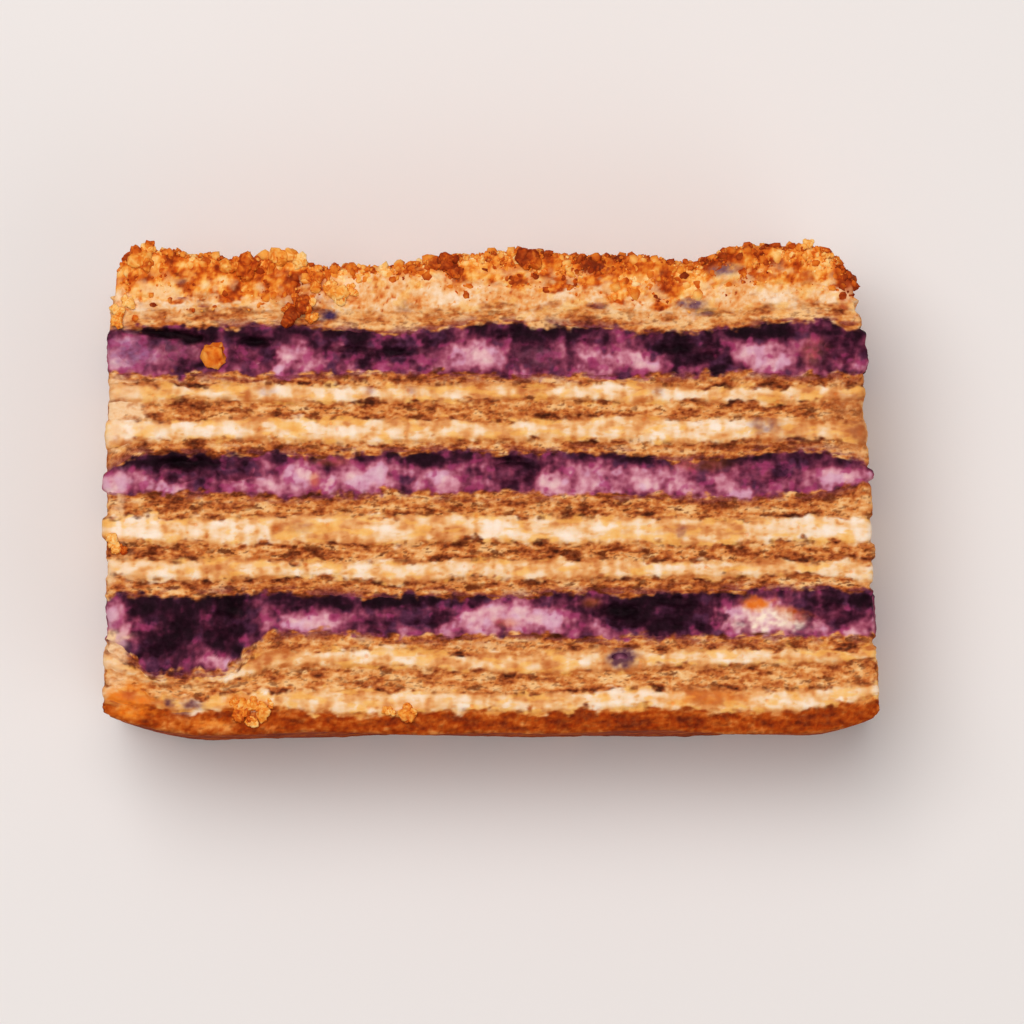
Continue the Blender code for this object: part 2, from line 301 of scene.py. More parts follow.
@dataclass(frozen=True)
class Finish:
    """How one stuff looks: its tones, its roughness, its fine grain and how light enters it."""

    name: str
    slot: str
    tones: tuple[tuple[float, Colour], ...]
    roughness: float
    shine: float
    grain_size: float
    grain_share: float
    bump: float
    squeeze: float = 1.0
    soft: float = 0.0

    steepness = 2.2
    span = 0.54
    soft_radius = (1.0, 0.5, 0.3)
    soft_scale = 0.001

    def paint(self, tone: Array) -> Array:
        """Colours of tones, as sRGB shares.

        Formula in words: the tone's distance from one half is drawn in by a hyperbolic
        tangent, so no place stops hard at either end. The colour lies on straight lines
        between the stated tones.

        Args:
            tone: Tones, from about 0 to 1.

        Returns:
            Red, green and blue in the last axis.
        """
        tone = 0.5 + self.span * np.tanh(self.steepness * (tone - 0.5))
        places = [place for place, _ in self.tones]
        channels = np.array([colour for _, colour in self.tones]).T / 255
        return np.stack([np.interp(tone, places, channel) for channel in channels], -1)

    def build(self) -> bpy.types.Material:
        """Builds the material, which reads the colour and roughness attributes.

        Returns:
            The new material.
        """
        material = bpy.data.materials.new(self.name)
        material.use_nodes = True
        nodes, links = material.node_tree.nodes, material.node_tree.links
        shader = nodes["Principled BSDF"]
        colour = nodes.new("ShaderNodeAttribute")
        colour.attribute_name = "colour"
        grained = nodes.new("ShaderNodeGroup")
        grained.node_tree = grained_group()
        grained.inputs["Per Metre"].default_value = 1.0 / self.grain_size
        grained.inputs["Share"].default_value = self.grain_share
        grained.inputs["Squeeze"].default_value = (1.0, self.squeeze, 1.0)
        links.new(colour.outputs["Color"], grained.inputs["Colour"])
        links.new(grained.outputs["Colour"], shader.inputs["Base Color"])
        rough = nodes.new("ShaderNodeAttribute")
        rough.attribute_name = "rough"
        links.new(rough.outputs["Fac"], shader.inputs["Roughness"])
        relief = nodes.new("ShaderNodeBump")
        relief.inputs["Strength"].default_value = 1.0
        relief.inputs["Distance"].default_value = self.bump
        links.new(grained.outputs["Height"], relief.inputs["Height"])
        links.new(relief.outputs["Normal"], shader.inputs["Normal"])
        shader.inputs["Specular IOR Level"].default_value = self.shine
        if self.soft:
            shader.inputs["Subsurface Weight"].default_value = self.soft
            shader.inputs["Subsurface Radius"].default_value = self.soft_radius
            shader.inputs["Subsurface Scale"].default_value = self.soft_scale
        return material


@cache
def finish_material(finish: Finish) -> bpy.types.Material:
    """The material of a finish, built at its first use."""
    return finish.build()


@cache
def grained_group() -> bpy.types.NodeTree:
    """Fine grain shared by the finishes.

    Formula in words: a noise, squeezed across the layers, is taken from one half. The
    colour is raised to the power of 1 plus the share times that, so dark grains are also
    the richer ones. The noise itself is the height.

    Returns:
        The node group.
    """
    tree = bpy.data.node_groups.new("fine_grain", "ShaderNodeTree")
    face = tree.interface
    for way, label, kind in (
        ("INPUT", "Colour", "Color"),
        ("INPUT", "Per Metre", "Float"),
        ("INPUT", "Share", "Float"),
        ("INPUT", "Squeeze", "Vector"),
        ("OUTPUT", "Colour", "Color"),
        ("OUTPUT", "Height", "Float"),
    ):
        face.new_socket(label, in_out=way, socket_type=f"NodeSocket{kind}")
    nodes, links = tree.nodes, tree.links
    entry = nodes.new("NodeGroupInput")
    leave = nodes.new("NodeGroupOutput")
    place = nodes.new("ShaderNodeTexCoord")
    squeezed = nodes.new("ShaderNodeVectorMath")
    squeezed.operation = "MULTIPLY"
    links.new(place.outputs["Object"], squeezed.inputs[0])
    links.new(entry.outputs["Squeeze"], squeezed.inputs[1])
    noise = nodes.new("ShaderNodeTexNoise")
    noise.inputs["Detail"].default_value = 3.0
    noise.inputs["Roughness"].default_value = 0.6
    links.new(squeezed.outputs["Vector"], noise.inputs["Vector"])
    links.new(entry.outputs["Per Metre"], noise.inputs["Scale"])
    centre = nodes.new("ShaderNodeMath")
    centre.operation = "SUBTRACT"
    centre.inputs[0].default_value = 0.5
    links.new(noise.outputs["Fac"], centre.inputs[1])
    power = nodes.new("ShaderNodeMath")
    power.operation = "MULTIPLY_ADD"
    power.inputs[2].default_value = 1.0
    links.new(centre.outputs[0], power.inputs[0])
    links.new(entry.outputs["Share"], power.inputs[1])
    raised = nodes.new("ShaderNodeGamma")
    links.new(entry.outputs["Colour"], raised.inputs["Color"])
    links.new(power.outputs[0], raised.inputs["Gamma"])
    links.new(raised.outputs["Color"], leave.inputs["Colour"])
    links.new(noise.outputs["Fac"], leave.inputs["Height"])
    return tree


BISCUIT = Finish(
    name="honey_biscuit", slot="biscuit",
    tones=(
        (0.0, (66, 26, 12)), (0.1, (112, 48, 22)), (0.26, (154, 73, 33)),
        (0.45, (184, 98, 46)), (0.64, (204, 120, 58)), (0.82, (220, 145, 80)),
        (1.0, (238, 186, 126)),
    ),
    roughness=0.9, shine=0.06, grain_size=0.0006, grain_share=0.8, bump=0.00007, squeeze=1.3,
)
BASE = Finish(
    name="baked_base", slot="baked_base",
    tones=(
        (0.0, (92, 28, 8)), (0.12, (128, 44, 12)), (0.3, (150, 54, 8)), (0.5, (166, 64, 11)),
        (0.7, (180, 79, 19)), (0.88, (200, 104, 42)), (1.0, (228, 146, 72)),
    ),
    roughness=0.85, shine=0.06, grain_size=0.0009, grain_share=0.8, bump=0.0001,
)
CREAM = Finish(
    name="honey_cream", slot="cream",
    tones=(
        (0.0, (188, 98, 40)), (0.12, (208, 130, 68)), (0.3, (226, 157, 92)),
        (0.48, (234, 180, 122)), (0.66, (239, 198, 154)), (0.84, (243, 212, 180)),
        (1.0, (247, 225, 204)),
    ),
    roughness=0.65, shine=0.12, grain_size=0.0011, grain_share=0.45, bump=0.00006, soft=0.1,
)
SOAKED = Finish(
    name="soaked_cream", slot="cream",
    tones=(
        (0.0, (158, 62, 24)), (0.12, (200, 98, 38)), (0.3, (222, 136, 68)),
        (0.5, (232, 162, 96)), (0.68, (236, 180, 124)), (0.85, (240, 196, 150)),
        (1.0, (246, 214, 182)),
    ),
    roughness=0.8, shine=0.08, grain_size=0.0009, grain_share=0.9, bump=0.0001,
)
BERRY_CREAM = Finish(
    name="blueberry_cream", slot="blueberry_cream",
    tones=(
        (0.0, (230, 190, 186)), (0.14, (208, 142, 156)), (0.3, (178, 98, 118)),
        (0.45, (142, 62, 86)), (0.6, (106, 42, 64)), (0.75, (72, 26, 45)),
        (0.9, (36, 10, 23)), (1.1, (17, 4, 10)),
    ),
    roughness=0.65, shine=0.04, grain_size=0.0012, grain_share=0.5, bump=0.00008,
)
BERRY = Finish(
    name="soft_blueberry", slot="blueberry",
    tones=(
        (0.0, (176, 110, 120)), (0.35, (124, 64, 86)), (0.7, (74, 30, 50)), (1.0, (24, 8, 16)),
    ),
    roughness=0.65, shine=0.04, grain_size=0.0012, grain_share=0.5, bump=0.00008,
)
CRUMB = Finish(
    name="baked_crumb", slot="crumb",
    tones=(
        (0.0, (118, 38, 10)), (0.12, (154, 54, 14)), (0.3, (196, 80, 18)),
        (0.5, (222, 112, 30)), (0.7, (238, 148, 54)), (0.87, (246, 184, 100)),
        (1.0, (248, 210, 146)),
    ),
    roughness=0.85, shine=0.08, grain_size=0.0009, grain_share=0.8, bump=0.00009,
)

# Brown of the biscuit's pits, also laid as painted shade in the pits and along the creases
# between layers.
PIT_BROWN = (88, 36, 14)
GOLDEN = (243, 178, 84)
DEEP_SHADOW = (14, 4, 8)
PEACH_SMEAR = (238, 194, 148)
PINK_SMEAR = (208, 156, 172)
GREY_PURPLE = (120, 80, 92)
DARK_JUICE = (84, 36, 48)
RED_JUICE = (120, 54, 62)
BLUE_SHEEN = (68, 44, 74)
LILAC = (208, 160, 192)
MAGENTA = (162, 54, 100)
ORANGE_BIT = (222, 112, 36)
PALE_CRUMB = (240, 196, 146)
HONEY_ORANGE = (230, 120, 28)
HONEY_BROWN = (170, 92, 46)
SOFT_PURPLE = (98, 54, 66)
SOFT_LILAC = (156, 106, 144)
BAKED_RED = (176, 74, 34)
WHITE_CREAM = (246, 222, 198)


# ---- the form of the stack


class Kind(Enum):
    """What a layer is made of."""

    BASE = "bottom biscuit"
    BISCUIT = "biscuit"
    CREAM = "cream"
    SOAKED = "soaked cream"
    BERRY = "blueberry cream"
    TOPPING = "crumb topping"


@dataclass(frozen=True)
class Layer:
    """One layer of the stack: its thickness in metres, and how much paler it is."""

    name: str
    thickness: float
    kind: Kind
    pale: float = 0.0


LAYERS = (
    Layer("bottom_biscuit", 0.0034, Kind.BASE),
    Layer("cream_1", 0.0035, Kind.CREAM, 0.02),
    Layer("biscuit_1", 0.0035, Kind.BISCUIT, 0.1),
    Layer("cream_2", 0.0031, Kind.CREAM, -0.15),
    Layer("biscuit_2", 0.0022, Kind.BISCUIT, 0.06),
    Layer("blueberry_cream_low", 0.0062, Kind.BERRY),
    Layer("biscuit_3", 0.0027, Kind.BISCUIT, -0.02),
    Layer("cream_3", 0.0031, Kind.CREAM, -0.03),
    Layer("biscuit_4", 0.0026, Kind.BISCUIT, -0.03),
    Layer("cream_4", 0.0045, Kind.CREAM, 0.04),
    Layer("biscuit_5", 0.0035, Kind.BISCUIT, 0.01),
    Layer("blueberry_cream_mid", 0.0064, Kind.BERRY, 0.03),
    Layer("biscuit_6", 0.0019, Kind.BISCUIT, 0.02),
    Layer("cream_5", 0.0037, Kind.CREAM, -0.05),
    Layer("biscuit_7", 0.0026, Kind.BISCUIT, 0.04),
    Layer("cream_6", 0.0029, Kind.CREAM, -0.05),
    Layer("biscuit_8", 0.0017, Kind.BISCUIT, 0.04),
    Layer("blueberry_cream_high", 0.0074, Kind.BERRY),
    Layer("biscuit_9", 0.0029, Kind.BISCUIT, 0.2),
    Layer("cream_top", 0.0038, Kind.SOAKED),
    Layer("crumb_topping", 0.005, Kind.TOPPING),
)

THROUGH = 1.0
BERRY_BED = 0.013


@dataclass(frozen=True)
class Dip:
    """A place where one sheet of the stack is pushed down, in metres."""

    sheet: int
    middle: float
    reach: float
    drop: float
    into: float


@dataclass(frozen=True)
class Bend:
    """A sheet that bends towards one end of the slice, in metres."""

    sheet: int
    start: float
    full: float
    drop: float


DIPS = tuple(
    Dip(sheet, *metres(*sizes), into)
    for into, rows in (
        (
            BERRY_BED,
            (
                (5, -48.8, 10.4, 5.8), (4, -48.8, 10.4, 4.8), (3, -48.8, 10.4, 2.8),
                (2, -48.8, 10.4, 0.8), (5, 27.2, 12.0, 0.6), (4, 20.6, 5.0, -0.4),
                (3, 20.6, 5.0, 0.6),
            ),
        ),
        (
            THROUGH,
            (
                (0, -40.0, 15.0, 0.4), (1, -23.5, 8.0, 0.6), (2, -12.0, 20.0, 0.4),
                (3, 1.0, 13.0, 1.0), (4, -2.0, 12.0, 0.8), (7, -14.0, 9.0, 0.8),
                (10, 40.0, 12.0, 0.7), (11, 40.0, 8.0, 0.7), (12, 34.0, 7.0, 1.0),
                (18, -19.0, 8.0, 0.7), (18, 0.0, 7.0, -0.8), (18, 28.5, 9.0, 0.8),
                (18, 49.0, 7.0, -1.4), (19, 28.5, 9.0, 0.6), (19, 49.0, 7.0, -1.0),
                (20, -48.0, 18.0, 1.8), (20, -16.0, 8.0, -1.8), (20, 26.0, 9.0, 1.8),
                (21, -54.5, 5.0, -0.7), (21, -40.5, 3.0, 0.9), (21, -32.5, 3.5, -0.9),
                (21, -20.5, 11.0, 2.2), (21, 5.0, 5.0, -0.6), (21, 31.8, 4.5, 1.2),
                (21, 46.0, 9.0, -1.4),
            ),
        ),
    )
    for sheet, *sizes in rows
)

BENDS = tuple(
    Bend(sheet, *metres(*sizes))
    for sheet, *sizes in (
        (21, 52.5, 59.0, 5.8), (20, 51.5, 59.0, 2.6), (19, 53.0, 59.0, 0.8),
        (12, 52.0, 60.0, 2.0), (13, 54.0, 60.0, 0.6), (11, 50.0, 58.0, -1.4),
        (6, 22.0, 34.0, -0.8), (3, 46.0, 60.0, -1.2), (2, 46.0, 60.0, -1.2),
        (1, 46.0, 60.0, -2.1), (0, 50.0, 62.2, -3.1), (21, -55.5, -60.0, 2.6),
        (20, -55.5, -60.0, 0.4), (13, -54.0, -60.5, 1.2), (12, -54.0, -60.5, 2.6),
        (2, -50.0, -61.0, -0.8), (1, -48.0, -60.0, -1.6), (0, -46.5, -62.2, -3.3),
    )
)

FACE_STANDS = {Kind.BISCUIT: -0.0002, Kind.BASE: -0.0002, Kind.BERRY: 0.0}
CREAM_STAND = 0.0001
END_STEPS = {
    "blueberry_cream_high": 0.0008,
    "blueberry_cream_mid": 0.0006,
    "cream_top": -0.001,
    "crumb_topping": -0.0026,
}


@dataclass(frozen=True)
class Stack:
    """Where the sheets between the layers, the ends and the cut face lie."""

    depth: float = 0.035
    base_y: float = -0.0394
    waves: tuple[tuple[float, ...], ...] = ((0.00024, 0.058, 0.09), (0.00016, 0.027, 0.047))
    wave_seed: int = 11
    most_bend: float = 1.1
    left_end: float = -0.0616
    left_lean: float = 0.012
    right_end: float = 0.0604
    right_lean: float = 0.048
    end_jog: float = 0.0003
    end_wave: float = 0.00035
    end_wave_length: float = 0.031
    end_seed: int = 5
    face_jog: float = 0.00012
    face_seed: int = 23
    ragged: float = 0.00034
    torn_middle: float = -0.0488
    torn_reach: float = 0.0125
    torn_sheets: tuple[int, ...] = (2, 3, 4, 5)
    torn_from: float = 0.022
    torn_full: float = 0.033
    torn_more: float = 2.0
    outer_share: float = 0.5
    sheet_seed: int = 500
    coarse_cell: float = 4.4 * MM
    small_cell: float = 1.1 * MM
    small_shift: float = 0.3
    small_share: float = 0.6

    def level(self, sheet: int) -> float:
        """Mean y of a sheet."""
        return self.base_y + sum(layer.thickness for layer in LAYERS[:sheet])

    def smooth_sheet(self, sheet: int, x: Array, z: Array) -> Array:
        """Y of a sheet: its level, two slow waves, then its dips and end bends.

        Args:
            sheet: The sheet's number.
            x: Places along the slice.
            z: Places from the underside to the cut face.

        Returns:
            The sheet's y at every place.
        """
        turns = random.Random(self.wave_seed + sheet)
        y = np.full(np.shape(x), self.level(sheet))
        for height, along, into in self.waves:
            y = y + height * np.sin(math.tau * (x / along + z / into + turns.random()))
        for dip in DIPS:
            if dip.sheet == sheet:
                fade = np.exp(-(((self.depth - z) / dip.into) ** 2))
                y = y - dip.drop * fade * np.exp(-(((x - dip.middle) / dip.reach) ** 4))
        for bend in BENDS:
            if bend.sheet == sheet:
                share = (x - bend.start) / (bend.full - bend.start)
                y = y - bend.drop * np.clip(share, 0.0, self.most_bend) ** 2
        return y

    def sheet(self, sheet: int, x: Array, z: Array) -> Array:
        """Y of a sheet with the small raggedness that both of its layers share.

        Formula in words: two noises are added to the smooth sheet. They are three times as
        strong under the big fruit at the left, where the layers are torn.

        Args:
            sheet: The sheet's number.
            x: Places along the slice.
            z: Places from the underside to the cut face.

        Returns:
            The sheet's y at every place.
        """
        points = np.stack([x, np.zeros_like(x), z], -1)
        amount = self.ragged * (self.outer_share if sheet in (0, len(LAYERS)) else 1.0)
        if sheet in self.torn_sheets:
            torn = np.exp(-(((x - self.torn_middle) / self.torn_reach) ** 4))
            deep = ease(z, self.torn_from, self.torn_full)
            amount = amount * (1.0 + self.torn_more * torn * deep)
        own = grain(self.sheet_seed + sheet)
        small = own.cloud(points + self.small_shift, self.small_cell, 2)
        rough = own.cloud(points, self.coarse_cell, 2) + self.small_share * small
        return self.smooth_sheet(sheet, x, z) + amount * rough

    def end(self, side: Array, y: Array) -> Array:
        """X of places that are stated by side.

        Args:
            side: From -1 at the left end to 1 at the right end.
            y: Places up the stack, as both ends lean.

        Returns:
            X at every place.
        """
        left = self.left_end + self.left_lean * y
        right = self.right_end - self.right_lean * y
        share = (side + 1.0) / 2.0
        return left + (right - left) * share

    def end_step(self, index: int, side: int, z: Array) -> Array:
        """How far one layer stands out at an end.

        Args:
            index: The layer's number.
            side: -1 for the left end, 1 for the right end.
            z: Places from the underside to the cut face.

        Returns:
            The step in metres, for every place.
        """
        jogs = random.Random(self.end_seed + 2 * index + side)
        jog = jogs.uniform(-self.end_jog, self.end_jog)
        wave = self.end_wave * np.sin(math.tau * (z / self.end_wave_length + jogs.random()))
        step = END_STEPS.get(LAYERS[index].name, 0.0)
        return jog + wave + (step if side > 0 else min(step, 0.0))

    def face_step(self, index: int) -> float:
        """How far one layer stands out of the cut face.

        Args:
            index: The layer's number.

        Returns:
            The step in metres.
        """
        jogs = random.Random(self.face_seed + index)
        stand = FACE_STANDS.get(LAYERS[index].kind, CREAM_STAND)
        return stand + jogs.uniform(-self.face_jog, self.face_jog)


STACK = Stack()


# ---- the patches

FRUIT = {
    "blueberry_cream_high": blots(
        0.6, (-60.4, 20.4, 1.8, 3.0, -0.28), (-57.0, 24.0, 3.2, 1.4, -0.16),
        (-52.6, 20.8, 6.0, 2.8, 0.04, 0.35), (-45.4, 22.0, 3.4, 3.6, 0.26),
        (-38.4, 20.6, 4.0, 2.6, 0.12, 0.35), (-31.6, 20.2, 4.6, 2.0, -0.24),
        (-29.0, 24.0, 6.4, 1.4, 0.06), (-18.0, 21.8, 8.4, 2.0, 0.34),
        (-18.0, 19.2, 7.0, 1.2, 0.08), (-4.6, 21.0, 5.4, 2.4, -0.22),
        (-1.6, 21.6, 1.8, 1.8, -0.22), (9.0, 24.2, 8.0, 1.6, 0.26),
        (13.0, 21.8, 1.4, 3.0, 0.16), (17.8, 20.4, 4.0, 1.8, -0.22),
        (23.6, 20.8, 3.4, 2.2, -0.14), (31.6, 21.2, 6.6, 3.4, 0.34),
        (36.8, 19.6, 1.6, 1.8, 0.3), (43.0, 20.6, 5.4, 2.2, -0.2),
        (45.2, 20.4, 1.8, 1.8, -0.18), (45.6, 24.6, 9.4, 1.2, 0.26),
        (57.2, 23.2, 3.4, 2.0, 0.3), (57.6, 19.6, 1.6, 1.4, -0.12),
    ),
    "blueberry_cream_mid": blots(
        0.6, (-60.0, 0.0, 3.4, 2.6, -0.34), (-49.0, 3.6, 9.0, 1.7, 0.4),
        (-51.6, 0.4, 2.4, 1.8, -0.22), (-44.0, 1.0, 3.6, 1.8, 0.1),
        (-37.0, 0.0, 3.4, 1.6, -0.2), (-30.0, 1.8, 5.4, 2.6, -0.22),
        (-19.6, 1.2, 4.4, 2.2, -0.28), (-10.4, 4.2, 4.6, 1.3, 0.3),
        (-7.0, 0.6, 4.6, 1.6, -0.16), (3.2, 2.2, 6.2, 2.8, 0.26), (9.6, 1.2, 2.2, 1.5, -0.34),
        (15.8, 2.0, 5.4, 2.8, -0.2), (22.6, 4.4, 5.4, 1.2, 0.24), (26.0, 1.0, 6.4, 1.9, -0.26),
        (36.6, 1.8, 3.0, 2.2, 0.1), (42.4, 3.2, 6.0, 2.4, 0.2), (46.4, -0.6, 2.2, 1.4, -0.18),
        (52.2, 3.6, 5.0, 1.2, 0.22), (55.0, 1.6, 2.6, 1.4, -0.16),
    ),
    "blueberry_cream_low": blots(
        0.6, (-60.6, -20.2, 2.6, 2.8, -0.22), (-48.0, -22.6, 9.6, 6.0, 0.46, 0.5),
        (-57.6, -23.0, 1.4, 1.6, -0.3), (-43.6, -28.2, 4.4, 1.0, -0.34),
        (-22.0, -18.6, 17.0, 1.4, 0.26), (-29.4, -21.6, 7.4, 1.6, -0.26),
        (-13.0, -20.0, 6.6, 2.8, 0.24), (2.4, -20.8, 7.6, 2.4, -0.34),
        (10.4, -21.6, 3.2, 1.6, -0.26), (26.0, -20.2, 10.4, 3.8, 0.46, 0.5),
        (37.0, -21.2, 3.0, 2.2, -0.24), (45.2, -20.6, 5.0, 3.2, -0.44),
        (55.4, -19.4, 6.0, 2.2, 0.38), (54.6, -23.2, 4.4, 1.0, -0.14),
    ),
}
# Hollows in the blueberry cream: recessed in the relief and painted near-black as deep shade.
HOLLOWS = {
    "blueberry_cream_high": blots(
        0.45, (-55.4, 25.0, 2.8, 0.6, 0.9, 0.25), (-51.4, 24.5, 2.8, 0.7, 1.1, 0.25),
        (-48.0, 23.7, 2.0, 0.8, 1.1, 0.25), (-37.8, 23.2, 2.3, 0.7, 1.0, 0.25),
        (-23.0, 22.0, 3.0, 0.5, 0.5), (-15.6, 21.6, 4.2, 0.7, 0.7), (29.6, 22.0, 3.4, 0.8, 0.6),
        (34.6, 20.8, 1.8, 0.8, 0.5), (2.2, 24.6, 2.0, 0.6, 0.4),
    ),
    "blueberry_cream_mid": blots(
        0.45, (-49.2, 3.6, 3.8, 1.0, 1.0, 0.35), (-42.6, 3.4, 2.4, 0.6, 0.4),
        (3.2, 4.0, 3.4, 0.6, 0.5),
    ),
    "blueberry_cream_low": blots(
        0.45, (-41.4, -19.6, 2.8, 1.8, 0.8), (-50.6, -23.4, 3.6, 1.8, 0.3),
        (20.6, -20.0, 3.4, 1.1, 0.8), (29.4, -18.4, 3.4, 0.8, 0.4),
    ),
}
ORANGE_BITS = {
    "blueberry_cream_low": blots(
        0.35, (42.2, -18.8, 2.0, 1.0, 1.0), (46.6, -20.0, 1.7, 0.8, 0.6),
        (49.2, -21.4, 1.2, 0.8, 0.4), (2.4, -21.8, 1.8, 0.8, 0.35),
        (16.0, -18.6, 1.4, 0.8, 0.5),
    ),
    "blueberry_cream_mid": blots(
        0.35, (-28.2, 1.2, 0.8, 1.2, 0.5), (-25.8, 4.0, 3.0, 0.8, 0.35),
        (34.0, 3.6, 4.4, 1.2, 0.35),
    ),
    "blueberry_cream_high": blots(0.35, (51.6, 21.6, 2.0, 2.2, 0.28)),
}
SHADES = {
    "bottom_biscuit": blots(
        0.6, (-59.0, -35.4, 5.0, 2.6, 0.55), (-52.0, -37.4, 5.0, 1.3, 0.02),
        (-44.0, -38.4, 7.0, 1.0, 0.4), (-39.0, -36.8, 4.0, 1.4, 0.3),
        (-28.0, -38.6, 6.0, 0.9, 0.16),
    ),
    "cream_1": blots(
        0.35, (-57.0, -34.4, 5.0, 1.6, -0.4, 0.6), (-59.6, -31.6, 1.8, 0.9, 0.2, 0.6),
        (-40.6, -34.4, 3.4, 1.6, -0.34), (-18.0, -34.8, 3.8, 1.2, -0.3),
        (-1.4, -34.6, 2.4, 0.9, -0.28), (11.8, -34.2, 2.6, 0.9, -0.22),
        (34.6, -33.9, 9.2, 1.3, -0.46), (22.0, -33.4, 7.4, 1.1, 0.2),
    ),
    "cream_2": blots(
        0.35, (-35.0, -28.0, 4.4, 1.4, -0.1), (-20.4, -26.6, 8.0, 0.9, 0.34),
        (0.4, -26.2, 3.4, 0.5, 0.34), (-4.0, -27.8, 7.6, 1.2, -0.12),
        (29.6, -27.4, 6.8, 1.2, 0.16), (48.0, -27.2, 8.0, 1.0, 0.12),
    ),
    "cream_3": blots(
        0.35, (-46.0, -13.4, 3.0, 1.2, -0.2), (-12.6, -13.2, 10.4, 1.2, 0.2),
        (7.0, -12.8, 5.0, 1.0, -0.22), (26.0, -12.6, 9.0, 1.1, 0.18),
        (45.6, -12.8, 4.2, 1.3, -0.26),
    ),
    "cream_4": blots(
        0.35, (-33.8, -6.2, 3.8, 1.5, -0.26), (-12.4, -6.0, 3.6, 1.3, -0.22),
        (-0.4, -6.4, 4.6, 1.7, 0.14), (13.4, -5.8, 2.4, 1.1, -0.32),
        (20.2, -6.4, 4.8, 1.6, 0.2), (37.4, -6.6, 12.0, 1.4, -0.32),
        (56.4, -6.0, 4.0, 1.2, 0.22),
    ),
    "cream_5": blots(
        0.35, (-52.4, 9.2, 6.6, 1.6, 0.18), (-20.6, 9.0, 4.2, 1.5, 0.16),
        (-9.0, 8.8, 5.4, 1.3, -0.24), (-2.6, 9.4, 2.2, 1.2, 0.22), (13.4, 8.8, 6.4, 1.2, -0.2),
        (5.8, 9.4, 2.8, 1.0, 0.24), (40.6, 9.4, 4.8, 1.3, 0.16), (53.2, 9.6, 2.4, 0.9, 0.2),
        (57.8, 9.2, 2.4, 2.0, -0.4, 0.6),
    ),
    "cream_6": blots(
        0.35, (-45.0, 14.6, 7.0, 1.0, 0.16), (-22.6, 14.8, 3.4, 1.2, 0.16),
        (-12.0, 15.2, 4.4, 1.0, -0.16), (27.6, 15.0, 6.8, 1.1, 0.16),
        (54.0, 14.6, 4.6, 1.2, -0.18),
    ),
    "cream_top": blots(
        0.35, (-52.2, 29.6, 6.4, 1.4, 0.24), (-18.6, 33.4, 8.0, 1.6, 0.22),
        (-8.0, 30.2, 6.2, 1.0, 0.2), (-2.0, 31.6, 2.2, 1.0, 0.28),
        (24.6, 30.6, 3.6, 1.2, 0.1), (43.8, 31.0, 7.6, 1.4, 0.26),
        (54.6, 29.4, 2.6, 2.2, 0.16),
    ),
}
